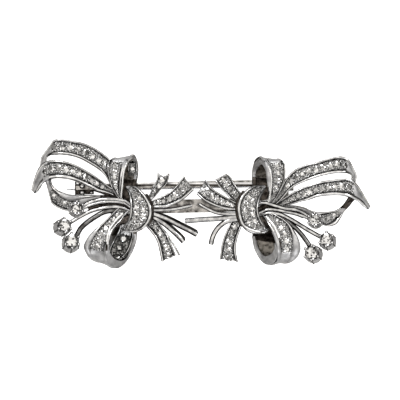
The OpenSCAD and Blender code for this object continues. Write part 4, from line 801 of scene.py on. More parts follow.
class Finishes:
    """Every material of the brooch, made once."""

    def __init__(self) -> None:
        """Makes the materials."""
        # White gold, rhodium plated and hand polished: mirror bright with soft waves from the buffing wheel,
        # and painted shade that greys faces leaning away
        self.polished = Metal("polished_white_gold", "#F6F6F7", "#CCCCCE", (0.05, 0.14), 1.3, (1.4, 0.012),
                              painted_side_shade="#6A6A6A").material()
        # The wires, stems and claws, drawn and polished by hand: bright backs, and painted shade that darkens
        # their flanks nearly to black
        self.drawn = Metal("drawn_white_gold", "#DEDEDE", "#A4A4A6", (0.06, 0.14), 1.0, (1.0, 0.01),
                           painted_side_shade="#101010").material()
        # The longest stems, which lie low under the ribbons, and the grains inside the bottom loops: the same
        # wire with painted shade, grey and soft, and darker still on its flanks
        self.shadowed = Metal("drawn_white_gold_in_shade", "#848484", "#4C4A48", (0.12, 0.24), 1.0,
                              (1.0, 0.01), painted_side_shade="#141414").material()
        # The bright folds of the bottom loops, buffed to a soft broad shine
        self.buffed = Metal("buffed_white_gold", "#FFFFFF", "#F2F2F2", (0.2, 0.3), 2.0, (1.4, 0.006),
                            metallic=0.85).material()
        # The broad rims and the wing tips, burnished by hand: a soft silvery line, with painted shade that
        # darkens its edges
        self.burnished = Metal("burnished_white_gold", "#E2E2E2", "#B4B4B5", (0.14, 0.26), 1.2, (1.4, 0.012),
                               painted_side_shade="#9A9A9A").material()
        # The same gold in the cut channels, where no wheel reaches: duller, and mottled grey and dark with
        # painted shade
        self.recess = Metal("channel_white_gold", "#B2B2B2", "#222222", (0.2, 0.4), 0.28, (0.5, 0.016),
                            (0.08, 0.003)).material()
        # Plain bands and folds and the collets' cups, rubbed down but not buffed: an even grey sheen
        self.plain = Metal("brushed_white_gold", "#CCCCCD", "#A6A6A8", (0.42, 0.56), 1.2, (1.2, 0.008),
                           (0.06, 0.0015), metallic=0.82).material()
        # The inner faces of the loops: painted shade, dark and streaky
        self.shaded = Metal("inner_loop_gold", "#A8A29A", "#423E38", (0.3, 0.45), 0.7, (0.9, 0.012),
                            (0.07, 0.003), metallic=0.6).material()
        # Painted shadow, nearly black, for the plate behind the knot, the ribbons' ends near the hub, the
        # dark wires in the gaps and the frame's catch and a band of its upper bar
        self.hidden = Metal("soldered_back_plate", "#544E49", "#1D1916", (0.3, 0.5), 0.8, (0.9, 0.012),
                            (0.07, 0.003)).material()
        # The backs, emeried but not polished: a satin grey
        self.satin = Metal("satin_white_gold_back", "#CFCECC", "#A6A5A2", (0.25, 0.38), 3.0, (1.2, 0.008),
                           (0.06, 0.002)).material()
        # Grains raised with a graver and burnished: small bright balls
        self.grain = Metal("burnished_grains", "#F4F4F4", "#A4A4A6", (0.06, 0.14), 0.8, (0.4, 0.004),
                           (0.05, 0.0008)).material()
        # The frame, worn white gold with long scratches from use
        self.worn = Metal("worn_frame_gold", "#BDBAB7", "#45423F", (0.12, 0.28), 1.1, (1.8, 0.02),
                          (0.07, 0.004), (0.12, 1.0, 1.0)).material()
        # Drawn steel of the pin: lengthwise draw lines, darker and bluer than the gold
        self.steel = Metal("drawn_steel_pin", "#C4C5C8", "#8C8E92", (0.12, 0.26), 1.2, (1.0, 0.004),
                           (0.05, 0.002), (0.06, 1.0, 1.0)).material()
        # Small diamonds in the channels: bright, with painted flashes of pale grey
        self.diamond = CutDiamond("cut_diamond", "#FFFFFF", "#C4C4C4", "#A8A8A8", 0.45).material()
        # Larger diamonds in the claws and inside the loops: white, with a few painted dark flashes
        self.large_diamond = CutDiamond("large_cut_diamond", "#FFFFFF", "#E4E4E4", "#484848", 0.4).material()

    def of_ribbon(self) -> list[Material]:
        """A ribbon's finishes in the order of its slots."""
        return [self.polished, self.recess, self.satin, self.shaded, self.plain, self.hidden, self.burnished]

    def of_wire(self, kind: Kind, last: bool) -> Material:
        """The finish of a wire of one kind, which may be the last one of its run."""
        # The last stem takes painted shade, and the dark wires in the gaps take painted shadow
        if kind is Kind.STEM and last:
            return self.shadowed
        return {Kind.RIDGE: self.buffed, Kind.SHADE: self.hidden}.get(kind, self.drawn)


# Ribbons

# Faces round a ribbon's section, and the middle points of its floor and of its back
LEFT_RIM, CHANNEL, RIGHT_RIM = slice(0, 5), slice(5, 9), slice(9, 14)
BACK, INNER_BACK = slice(15, 21), slice(16, 20)
FLOOR_MIDDLE, BACK_MIDDLE, SECTION_POINTS = 7, 18, 22
# Groove depth factors from which a channel has its own finish, and from which it has grains
CHANNEL_FROM, GRAINS_FROM = 0.25, 0.8
# Points along a row of stones at which its length is measured
ROW_SAMPLES = 41


def row_at(rows: np.ndarray, t: float) -> np.ndarray:
    """A smooth curve through the rows of a table.

    Args:
        rows: The table, a section in each row.
        t: The place along it, counted in rows.

    Returns:
        The row's values at that place.
    """
    last = len(rows) - 1
    k = int(max(0, min(math.floor(t), last - 1)))
    f = t - k
    before, here, ahead, after = rows[max(k - 1, 0)], rows[k], rows[k + 1], rows[min(k + 2, last)]
    bend = 2 * before - 5 * here + 4 * ahead - after
    twist = 3 * (here - ahead) + after - before
    return here + 0.5 * f * (ahead - before + f * (bend + f * twist))


@dataclass(frozen=True)
class Station:
    """A ribbon's section at one place along it, in millimetres."""

    left: np.ndarray
    side: np.ndarray
    up: np.ndarray
    ahead: np.ndarray
    width: float
    rims: tuple[float, float]
    wall: float
    cut: float
    squeeze: float

    def at(self, across: float, rise: float) -> np.ndarray:
        """The point at a distance across from the left edge and above the face."""
        return self.left + self.side * across + self.up * rise


@dataclass(frozen=True)
class Seat:
    """A stone's place in the metal: its girdle's centre, axis, direction and diameter in millimetres."""

    place: np.ndarray
    up: np.ndarray
    along: np.ndarray
    d: float


@dataclass(frozen=True)
class RowPlan:
    """A row of stones along a ribbon: from and to in rows of its table, how many, and their diameters.

    Across is the row's place in the channel, from 0 at the left rim to 1 at the right rim.
    """

    first: float
    last: float
    count: int
    d_first: float
    d_last: float
    across: float = 0.5


@dataclass
class Ribbon:
    """A folded ribbon with two polished rims and a channel between them for its stones.

    Its sizes are in millimetres. Places along it are counted in rows of its table: from inside its back is
    the inner face of a loop, in painted shade, from fold it is plain, from tip its rims are bright, and root
    and tail are how long its ends in painted shadow are. Pair is the place and the diameter of two stones
    side by side. Row names the CAD node of its stones where its own name doesn't, and notch is how deep its
    end is cut in.
    """

    name: str
    rows: Rows
    plans: tuple[RowPlan, ...] = ()
    pair: tuple[float, float] | None = None
    inside: float = 99.0
    fold: float = 99.0
    tip: float = 99.0
    root: float = 0.0
    tail: float = 0.0
    row: str = ""
    bright: bool = False
    notch: float = 0.0
    depth: float = 1.45
    sheet: float = 0.65
    groove: float = 0.85
    groove_wall: float = 0.24
    bed: float = 0.36
    draw: float = 0.2
    floor_min: float = 0.2
    sink: float = 0.1
    gap: float = 0.05
    stone_depth: float = 0.42
    rim_rise: float = 0.17
    flange: float = 0.85
    dip: float = 0.2
    edge: float = 0.05
    steps: int = 6
    near: float = 0.05

    def __post_init__(self) -> None:
        """Keeps the table as an array."""
        self.table = np.array(self.rows, float)

    def middle(self, t: float) -> np.ndarray:
        """The middle of the ribbon's face at t."""
        row = row_at(self.table, t)
        return (row[0:3] + row[3:6]) / 2

    def station(self, t: float) -> Station:
        """The ribbon's section at t, counted in rows of its table."""
        row = row_at(self.table, t)
        last = len(self.table) - 1
        ahead = unit(self.middle(min(t + self.near, last)) - self.middle(max(t - self.near, 0)))
        width = float(np.linalg.norm(row[3:6] - row[0:3]))
        side = (row[3:6] - row[0:3]) / width
        squeeze = min(1.0, width / (row[7] + row[8] + 2 * self.groove_wall + self.floor_min))
        return Station(row[0:3], side, unit(np.cross(side, ahead)), ahead, width,
                       (row[7] * squeeze, row[8] * squeeze), self.groove_wall * squeeze,
                       min(1.0, max(0.0, row[6])), squeeze)

    def section(self, t: float) -> np.ndarray:
        """The corners of the section at t: half-round rim, channel, half-round rim and drawn-in back."""
        s = self.station(t)
        rim_l, rim_r = s.rims
        w = s.width
        floor = -self.bed * s.cut
        back = -mix(self.sheet, self.depth, s.cut)
        draw = self.draw * s.squeeze
        bead = ((0.0, -0.6), (0.12, 0.4), (0.38, 1.0), (0.64, 1.0), (0.88, 0.4), (1.0, -0.6))
        rise_l, rise_r = (min(0.3 * rim, self.rim_rise) for rim in s.rims)
        hollow = back + self.dip * min(1.0, max(0.0, t - self.inside))
        low_l, low_r = (draw + min(0.9 * rim, 0.4 * w - draw) for rim in s.rims)
        outline = (
            *((rim_l * x, rise_l * z) for x, z in bead),
            (rim_l + s.wall, floor), (w / 2, floor), (w - rim_r - s.wall, floor),
            *((w - rim_r * x, rise_r * z) for x, z in reversed(bead)),
            (w - draw, back), (w - low_r, back), (w - low_r - 0.05 * w, hollow), (w / 2, hollow),
            (low_l + 0.05 * w, hollow), (low_l, back), (draw, back),
        )
        last = len(self.table) - 1
        pull = self.notch * max(0.0, t - last + 1) ** 1.5
        return np.array([s.at(x, z) - s.ahead * pull * (1 - abs(2 * x / w - 1)) for x, z in outline])

    def seats(self) -> list[Seat]:
        """Every stone's seat, spaced evenly along the ribbon."""
        found = []
        for plan in self.plans:
            ts = np.linspace(plan.first, plan.last, ROW_SAMPLES)
            sections = [row_at(self.table, t) for t in ts]
            line = np.array([mix(row[0:3], row[3:6], plan.across) for row in sections])
            run = np.concatenate([[0.0], np.cumsum(np.linalg.norm(np.diff(line, axis=0), axis=1))])
            mean = (plan.d_first + plan.d_last) / 2
            for i in range(plan.count):
                f = i / (plan.count - 1)
                g = (plan.d_first * f + (plan.d_last - plan.d_first) * f * f / 2) / mean
                t = float(np.interp(run[-1] * g, run, ts))
                found.append(self.seat(t, plan.across, mix(plan.d_first, plan.d_last, f)))
        if self.pair:
            found += [self.seat(self.pair[0], across, self.pair[1]) for across in (0.0, 1.0)]
        return found

    def seat(self, t: float, across: float, d: float) -> Seat:
        """The seat at t, with its place across the channel from 0 to 1 and its diameter."""
        s = self.station(t)
        room = s.width - sum(s.rims) - 4 * self.gap
        drop = (self.groove * s.cut - self.sink - self.gap) / self.stone_depth
        d = min(d, room, drop)
        low = s.rims[0] + d / 2 + 2 * self.gap
        high = s.width - s.rims[1] - d / 2 - 2 * self.gap
        return Seat(s.at(mix(low, high, across), -self.sink), s.up, np.cross(s.side, s.up), d)

    def grains(self, radius: float) -> list[Seat]:
        """Places for grains in the metal between the stones and the rims.

        Args:
            radius: A grain's radius in millimetres.

        Returns:
            A seat for each grain.
        """
        margin, apart, least, most = radius * 1.25, radius * 2.2, radius * 0.35, 0.5
        first, step_across = 0.2, 0.07
        seats = self.seats()
        centres = np.array([s.place for s in seats])
        radii = np.array([s.d / 2 for s in seats])
        spots = []
        for t in np.arange(first, len(self.table) - 1, self.near):
            s = self.station(float(t))
            if s.cut < GRAINS_FROM:
                continue
            for x in np.arange(s.rims[0] + margin, s.width - s.rims[1] - margin, step_across):
                place = s.at(float(x), -self.sink)
                clear = float((np.linalg.norm(centres - place, axis=1) - radii).min())
                if least < clear < most:
                    spots.append((clear, place, s))
        spots.sort(key=lambda spot: spot[0])
        kept: list[Seat] = []
        for _, place, s in spots:
            if all(np.linalg.norm(place - k.place) > apart for k in kept):
                kept.append(Seat(place, s.up, s.ahead, 2 * radius))
        return kept

    def split_end(self, metal: Object, ends: np.ndarray) -> None:
        """Splits the end face down the middle, so that a swallow tail stays open.

        Args:
            metal: The ribbon.
            ends: The upper and the lower point that the new edge joins, in metres.
        """
        with Editing(metal):
            mesh = bmesh.from_edit_mesh(metal.data)
            bpy.ops.mesh.select_all(action="DESELECT")
            for v in mesh.verts:
                v.select_set(any(np.linalg.norm(np.array(v.co) - end) < 1e-6 for end in ends))
            bmesh.update_edit_mesh(metal.data)
            bpy.ops.mesh.vert_connect_path()

    def face_slots(self, t: float) -> np.ndarray:
        """The material slot of each face round the section at t."""
        s = self.station(t)
        slots = np.zeros(SECTION_POINTS)
        # Painted shadow over the ends near the hub
        if t < self.root or t > len(self.table) - 1 - self.tail:
            slots[:] = Slot.HIDDEN
            return slots
        folded, inner = t >= self.fold, t >= self.inside
        for rim, width in zip((LEFT_RIM, RIGHT_RIM), s.rims):
            slots[rim] = Slot.PLAIN if folded or width > self.flange else Slot.RIM
            if self.bright or t >= self.tip:
                slots[rim] = Slot.BRIGHT_RIM
        channel = s.cut > CHANNEL_FROM and not folded and t < self.tip
        # The channel's finish is mottled with painted shade
        slots[CHANNEL] = Slot.CHANNEL if channel else Slot.PLAIN
        slots[BACK] = Slot.PLAIN if inner else Slot.BACK
        # The inner faces of a loop take painted shade
        slots[INNER_BACK] = Slot.INNER if inner else Slot.BACK
        return slots

    def build(self) -> Object:
        """Builds the ribbon's metal."""
        last = len(self.table) - 1
        ts = np.linspace(0, last, last * self.steps + 1)
        rings = np.array([self.section(float(t)) for t in ts])
        slots = np.array([self.face_slots(float(t)) for t in ts[:-1]])
        metal = lofted(self.name, rings, slots)
        if self.notch:
            self.split_end(metal, rings[-1][[FLOOR_MIDDLE, BACK_MIDDLE]] * MM)
        soften(metal, self.edge)
        return metal


@dataclass
class Wire:
    """A round wire or stem through the points of its centre line."""

    name: str
    line: Line
    radius: float
    sides: int = 14
    steps: int = 7

    def build(self) -> Object:
        """Builds the wire with softly rounded ends."""
        table = np.array(self.line, float)
        last = len(table) - 1
        ts = np.linspace(0, last, last * self.steps + 1)
        points = np.array([row_at(table, float(t)) for t in ts])
        turns = np.linspace(0, 2 * math.pi, self.sides, endpoint=False)
        rings = []
        side = None
        for i, p in enumerate(points):
            ahead = unit(points[min(i + 1, len(points) - 1)] - points[max(i - 1, 0)])
            side = unit(np.cross([0, 0, 1.0], ahead) if side is None else side - ahead * np.dot(side, ahead))
            up = np.cross(ahead, side)
            rings.append([p + self.radius * (side * math.cos(a) + up * math.sin(a)) for a in turns])
        wire = lofted(self.name, np.array(rings))
        soften(wire, self.radius * 0.3, 3, 50)
        return wire


# Stones and grains


@dataclass
class Brilliant:
    """A round brilliant cut, one unit across, with its table, stars, kites, girdle and pavilion."""

    name: str
    table: float = 0.6
    crown: float = 0.12
    pavilion: float = 0.43
    star: float = 0.41
    lower: float = 0.14
    culet: float = 0.004
    flat: float = 2.0

    def build(self) -> Object:
        """Builds the stone as the hull of its corners."""
        eighth = math.pi / 8
        kite_fall = self.crown / (0.5 - self.table / 2)
        star_z = self.crown - (self.star * math.cos(eighth) - self.table / 2) * kite_fall
        main_rise = self.pavilion / 0.5
        lower_z = -self.pavilion + self.lower * math.cos(eighth) * main_rise
        bpy.ops.object.select_all(action="DESELECT")
        bpy.ops.mesh.primitive_circle_add(vertices=16, radius=0.5, location=(0, 0, 0))
        stone = bpy.context.object
        stone.name = stone.data.name = self.name
        with Editing(stone):
            for count, radius, z, turn in (
                (8, self.table / 2, self.crown, 0), (8, self.star, star_z, eighth),
                (8, self.lower, lower_z, eighth), (3, self.culet, -self.pavilion, 0),
            ):
                bpy.ops.mesh.primitive_circle_add(vertices=count, radius=radius, location=(0, 0, z),
                                                  rotation=(0, 0, turn))
            bpy.ops.mesh.select_all(action="SELECT")
            flat = math.radians(self.flat)
            bpy.ops.mesh.convex_hull(delete_unused=True, join_triangles=True, face_threshold=flat,
                                     shape_threshold=flat)
            bpy.ops.mesh.normals_make_consistent(inside=False)
        return stone


@dataclass
class Grain:
    """A bead of metal on its stub, one unit across, raised from the plate to hold a stone's edge."""

    name: str
    stub_from: float = -0.05
    stub: float = 1.6

    def build(self) -> Object:
        """Builds the grain from a sphere whose lower half is drawn down to the plate."""
        bpy.ops.object.select_all(action="DESELECT")
        bpy.ops.mesh.primitive_uv_sphere_add(segments=8, ring_count=5, radius=0.5)
        grain = bpy.context.object
        grain.name = grain.data.name = self.name
        with Editing(grain):
            mesh = bmesh.from_edit_mesh(grain.data)
            for v in mesh.verts:
                v.select_set(v.co.z < self.stub_from)
            mesh.select_flush_mode()
            bmesh.update_edit_mesh(grain.data)
            bpy.ops.transform.translate(value=(0, 0, -self.stub))
        activate(grain)
        bpy.ops.object.shade_smooth_by_angle(angle=math.radians(60))
        return grain


@dataclass
class Collet:
    """A claw collet: a tapered scalloped cup, six ball-tipped claws and the seat of its stone."""

    name: str
    place: tuple[float, ...]
    height: float = 2.8
    foot: float = 1.1
    wall: float = 0.28
    claws: int = 6
    claw_r: float = 0.24
    ball_r: float = 0.32
    stone_part: float = 0.84
    scallop: float = 1.1
    edge: float = 0.06
    claw_sides: int = 10

    def __post_init__(self) -> None:
        """Works out the collet's axis from its rim and its foot."""
        x, y, z, self.radius, dx, dy = self.place
        self.rim = np.array([x, y, z])
        self.base = np.array([x + dx, y + dy, z - self.height])
        self.axis = unit(self.rim - self.base)
        self.side = unit(np.cross([0, 1.0, 0], self.axis))
        self.front = np.cross(self.axis, self.side)

    def at(self, r: float, turn: float, z: float) -> np.ndarray:
        """The point at a radius, an angle and a height above the foot."""
        return self.base + self.axis * z + r * (self.side * math.cos(turn) + self.front * math.sin(turn))

    def cup(self) -> Object:
        """Builds the cup, whose rim dips between the claws."""
        foot_r = self.radius * self.foot
        rim_r = self.radius * 0.97
        profile = [(foot_r * 0.8, 0.0), (foot_r, 0.25), (foot_r * 1.02, 0.7),
                   (mix(foot_r, self.radius, 0.45), 1.5),
                   (rim_r, self.height), (rim_r - self.wall, self.height),
                   (mix(foot_r, self.radius, 0.3) - self.wall, 1.6), (foot_r * 0.4, 1.15)]
        turns = np.linspace(0, 2 * math.pi, 6 * self.claws, endpoint=False)
        rings = []
        for r, z in profile:
            deepest = self.scallop * max(0.0, z / self.height) ** 3
            dips = [deepest * abs(math.cos(a * self.claws / 2)) ** 1.4 for a in turns]
            rings.append([self.at(r, a, z - dip) for a, dip in zip(turns, dips)])
        cup = lofted(self.name + "_cup", np.array(rings))
        soften(cup, self.edge)
        return cup

    def claw(self, k: int) -> Object:
        """Builds one claw with its ball tip."""
        turn = 2 * math.pi * (k + 0.5) / self.claws
        foot_r = self.radius * self.foot
        tip_r = self.radius * self.stone_part + self.ball_r * 0.45
        lower = self.at(foot_r, turn, self.height * 0.15)
        upper = self.at(self.radius * 0.98, turn, self.height - 0.25)
        tip = self.at(tip_r, turn, self.height + 0.12)
        path = [lower, upper, (upper + tip) / 2 + self.axis * 0.03]
        radii = [self.claw_r * 0.8, self.claw_r, self.claw_r]
        lean = unit(tip - upper)
        for f in (-0.75, -0.4, 0.0, 0.45, 0.8, 0.97):
            path.append(tip + lean * self.ball_r * f)
            radii.append(self.ball_r * math.sqrt(1 - f * f))
        across = np.cross(lean, self.side * math.cos(turn) + self.front * math.sin(turn))
        out, across = unit(np.cross(across, lean)), unit(across)
        turns = np.linspace(0, 2 * math.pi, self.claw_sides, endpoint=False)
        ways = [out * math.cos(a) + across * math.sin(a) for a in turns]
        rings = [[p + r * way for way in ways] for p, r in zip(path, radii)]
        claw = lofted(f"{self.name}_claw_{k}", np.array(rings))
        activate(claw)
        bpy.ops.object.shade_smooth_by_angle(angle=math.radians(50))
        return claw

    def seat(self) -> Seat:
        """The seat of the collet's stone."""
        up = unit(self.axis + np.array([0, 0, 2.0]))
        along = unit(self.side - up * np.dot(self.side, up))
        return Seat(self.rim - self.axis * 0.1, up, along, 2 * self.radius * self.stone_part)

    def build(self, cup_finish: Material, claw_finish: Material) -> Object:
        """Builds the cup and its claws as one piece, each in its finish."""
        parts = [self.cup()] + [self.claw(k) for k in range(self.claws)]
        for i, part in enumerate(parts):
            dress(part, claw_finish if i else cup_finish)
        return joined(self.name, parts)


@dataclass
class BackPlate:
    """The rounded plate behind the knot that all ribbons are soldered to."""

    name: str
    corners: tuple[tuple[float, float], ...]
    low: float = 3.65
    top: float = 6.3
    radius: float = 0.8
    sides: int = 24
    edge: float = 0.15

    def post(self, x: float, y: float) -> None:
        """Adds a round post at x and y."""
        bpy.ops.mesh.primitive_cylinder_add(
            vertices=self.sides, radius=self.radius * MM, depth=(self.top - self.low) * MM,
            location=(x * MM, y * MM, (self.top + self.low) / 2 * MM))

    def build(self) -> Object:
        """Builds the plate as the hull of a round post at each corner."""
        bpy.ops.object.select_all(action="DESELECT")
        self.post(*self.corners[0])
        plate = bpy.context.object
        plate.name = plate.data.name = self.name
        bpy.ops.object.transform_apply(location=True, rotation=True, scale=True)
        with Editing(plate):
            for corner in self.corners[1:]:
                self.post(*corner)
            bpy.ops.mesh.select_all(action="SELECT")
            bpy.ops.mesh.convex_hull(delete_unused=True, join_triangles=True)
            bpy.ops.mesh.normals_make_consistent(inside=False)
        soften(plate, self.edge, 3)
        return plate


# The brooch


@dataclass
class Spray:
    """One spray: its set ribbons, knot, stems, wires, collets, stones and grains.

    Lean is how far a stone leans over, turn is how far in radians each stone is turned on from the one
    before, and grain_r is a grain's radius in millimetres.
    """

    side: Side
    ribbons: tuple[Ribbon, ...]
    runs: tuple[WireRun, ...]
    collets: Rows
    plate: tuple[tuple[float, float], ...]
    lean: float = 0.07
    turn: float = 2.4
    grain_r: float = 0.2

    def carry_metal(self, piece: Object, *finishes: Material) -> None:
        """Finishes a piece of the soldered metal, which rides in the place of the whole spray."""
        dress(piece, *finishes)
        carry(piece, "brooch", "metal", f"{self.side.value}_spray")

    def build_ribbons(self, finishes: Finishes, grain: Object) -> None:
        """Builds the ribbons, each with the grains raised from it.

        Args:
            finishes: The materials.
            grain: The pattern of a grain.
        """
        for ribbon in self.ribbons:
            self.carry_metal(ribbon.build(), *finishes.of_ribbon())
            grains = ribbon.grains(self.grain_r) if ribbon.plans else []
            if grains:
                places = [placed(g.place, g.up, g.along, g.d) for g in grains]
                beads = set_copies(f"{ribbon.name}_grains", grain, places)
                # Grains inside the bottom loops take painted shade
                self.carry_metal(beads, finishes.shadowed if "bottom_back" in ribbon.name else finishes.grain)

    def build_wires(self, finishes: Finishes) -> None:
        """Builds the stems, wires and folds, and the back plate that they are soldered to."""
        for run in self.runs:
            for i, (line, radius) in enumerate(zip(run.lines, run.radii)):
                wire = Wire(f"{self.side.value}_{run.kind.value}_{i + 1}", line, radius).build()
                self.carry_metal(wire, finishes.of_wire(run.kind, i == len(run.lines) - 1))
        # The back plate takes painted shadow, nearly black
        self.carry_metal(BackPlate(f"{self.side.value}_back_plate", self.plate).build(), finishes.hidden)

    def build_rows(self, finishes: Finishes, stone: Object) -> None:
        """Builds the rows of stones in the ribbons.

        Args:
            finishes: The materials.
            stone: The pattern of a cut stone.
        """
        start = f"{self.side.value}_"
        for ribbon in self.ribbons:
            if not ribbon.plans:
                continue
            places = []
            for i, s in enumerate(ribbon.seats()):
                turn = self.turn * i
                along = s.along * math.cos(turn) + np.cross(s.up, s.along) * math.sin(turn)
                up = unit(s.up + along * self.lean)
                places.append(placed(s.place, up, unit(along - up * np.dot(along, up)), s.d))
            stones = set_copies(f"{ribbon.name}_stones", stone, places)
            dress(stones, finishes.large_diamond if "back" in ribbon.name else finishes.diamond)
            row = ribbon.row or ribbon.name.replace("_ribbon", "").replace(start, f"{start}row_")
            carry(stones, "brooch", "stone", row)

    def build_collets(self, finishes: Finishes, stone: Object) -> None:
        """Builds the claw collets and the stones that stand in them.

        Args:
            finishes: The materials.
            stone: The pattern of a cut stone.
        """
        for where, place in zip(("near", "mid", "far"), self.collets):
            collet = Collet(f"{self.side.value}_collet_{where}", place)
            self.carry_metal(collet.build(finishes.plain, finishes.polished))
            s = collet.seat()
            node_name = f"{self.side.value}_stone_{where}"
            gem = set_copies(f"{node_name}_cut", stone, [placed(s.place, s.up, s.along, s.d)])
            dress(gem, finishes.large_diamond)
            carry(gem, "brooch", "stone", node_name)

    def build(self, finishes: Finishes, stone: Object, grain: Object) -> None:
        """Builds the whole spray.

        Args:
            finishes: The materials.
            stone: The pattern of a cut stone.
            grain: The pattern of a grain.
        """
        self.build_ribbons(finishes, grain)
        self.build_wires(finishes)
        self.build_rows(finishes, stone)
        self.build_collets(finishes, stone)


class FrameSlot(IntEnum):
    """The frame's material slots, in the order in which its finishes are added."""

    WORN = 0
    # Polished, as a painted highlight
    BRIGHT = 1
    # Painted shadow
    HIDDEN = 2


@dataclass
class PinFrame:
    """The pin frame with its catch and hinge, and the steel pin.

    Its sizes are in millimetres. A chamfer is the Y of its edges and its width. The bright band and the
    shadow band are bands of Y on the upper faces, no deeper than shoulder below the top: the first is
    polished as a painted highlight, the second takes painted shadow. A knob is its x, y, z and size, and
    everything left of catch_right is the catch, which takes painted shadow. Only edges longer than shortest
    are chamfered, and near is how close a corner has to lie to count as on a line.
    """

    edge: float = 0.12
    pin_edge: float = 0.05
    top: float = 3.6
    shoulder: float = 0.6
    chamfers: tuple[tuple[float, float], ...] = ((3.38, 0.5), (4.58, 0.25), (1.0, 0.3), (-1.7, 0.4))
    # A polished band as a painted highlight, and next to it a band of painted shadow
    bright: tuple[float, float] = (3.95, 4.35)
    painted_shadow_band: tuple[float, float] = (3.6, 3.95)
    catch_right: float = -21.3
    near: float = 0.01
    shortest: float = 0.5
    knobs: Rows = ((-24.7, 4.25, 3.5, 1.3), (-23.8, 3.6, 3.3, 1.4), (-23.8, 2.3, 2.6, 1.4),
                   (-22.5, 4.3, 3.5, 1.0), (-24.7, 3.0, 2.5, 0.9), (-22.6, 3.2, 2.5, 0.8),
                   (-21.9, 2.3, 2.5, 0.9))

    def chamfer(self, obj: Object, line: float, width: float) -> None:
        """Chamfers the long upper edges of the bars that lie at one Y.

        Args:
            obj: The frame, in edit mode.
            line: The edges' Y in millimetres.
            width: The chamfer's width in millimetres.
        """
        mesh = bmesh.from_edit_mesh(obj.data)
        for part in (*mesh.verts, *mesh.edges, *mesh.faces):
            part.select = False
        for e in mesh.edges:
            at_line = all(abs(v.co.y - line * MM) < self.near * MM for v in e.verts)
            at_top = all(abs(v.co.z - self.top * MM) < self.near * MM for v in e.verts)
            if at_line and at_top and e.calc_length() > self.shortest * MM:
                e.select_set(True)
        bmesh.update_edit_mesh(obj.data)
        bpy.ops.mesh.bevel(offset=width * MM, segments=1, affect="EDGES", clamp_overlap=True)

    def worked_copy(self, name: str, source: str, edge: float, lines: Iterable[float] = (),
                    chamfers: Iterable[tuple[float, float]] = ()) -> Object:
        """A merged copy of a solid, with worn edges.

        Args:
            name: The piece's name.
            source: The solid's node.
            edge: Width of the worn edges in millimetres.
            lines: The Y of each line that its faces are divided along.
            chamfers: The chamfers' Y and width.

        Returns:
            The piece, without a finish.
        """
        obj = bpy.data.objects.new(name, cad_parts[source].data.copy())
        bpy.context.scene.collection.objects.link(obj)
        with Editing(obj):
            bpy.ops.mesh.remove_doubles(threshold=1e-6)
            bpy.ops.mesh.dissolve_limited(angle_limit=math.radians(1))
            for line in lines:
                bpy.ops.mesh.select_all(action="SELECT")
                bpy.ops.mesh.bisect(plane_co=(0, line * MM, 0), plane_no=(0, 1, 0))
            for line, width in chamfers:
                self.chamfer(obj, line, width)
        soften(obj, edge, 3)
        obj.data.materials.clear()
        return obj

    def paint(self, obj: Object) -> None:
        """Gives each face of the frame its finish: painted shadow over the catch, and on the upper bar a
        polished band as a painted highlight and a band of painted shadow.
        """
        for face in obj.data.polygons:
            x, y, z = (v / MM for v in face.center)
            upper = face.normal.z > 0.3 and z > self.top - self.shoulder
            # Painted shadow over the catch and one band of the upper bar, and a polished band as a painted
            # highlight
            if x < self.catch_right:
                face.material_index = FrameSlot.HIDDEN
            elif upper and self.bright[0] < y < self.bright[1]:
                face.material_index = FrameSlot.BRIGHT
            elif upper and self.painted_shadow_band[0] < y < self.painted_shadow_band[1]:
                face.material_index = FrameSlot.HIDDEN

    def build(self, finishes: Finishes, grain: Object) -> None:
        """Builds the catch's knobs, the frame and the pin.

        Args:
            finishes: The materials.
            grain: The pattern of a grain, which the knobs are made from.
        """
        up, along = np.array([0, 0, 1.0]), np.array([1.0, 0, 0])
        places = [placed(np.array(row[:3]), up, along, row[3]) for row in self.knobs]
        knobs = set_copies("catch_knobs", grain, places)
        dress(knobs, finishes.polished)
        carry(knobs, "brooch", "frame_metal", "frame")
        lines = sorted({*self.bright, *self.painted_shadow_band})
        bars = self.worked_copy("pin_frame", "frame", self.edge, lines, self.chamfers)
        dress(bars, finishes.worn, finishes.polished, finishes.hidden)
        self.paint(bars)
        carry(bars, "brooch", "frame_metal", "frame")
        pin = self.worked_copy("steel_pin", "pin_stem", self.pin_edge)
        dress(pin, finishes.steel)
        carry(pin, "pin", "pin_steel", "pin_stem")


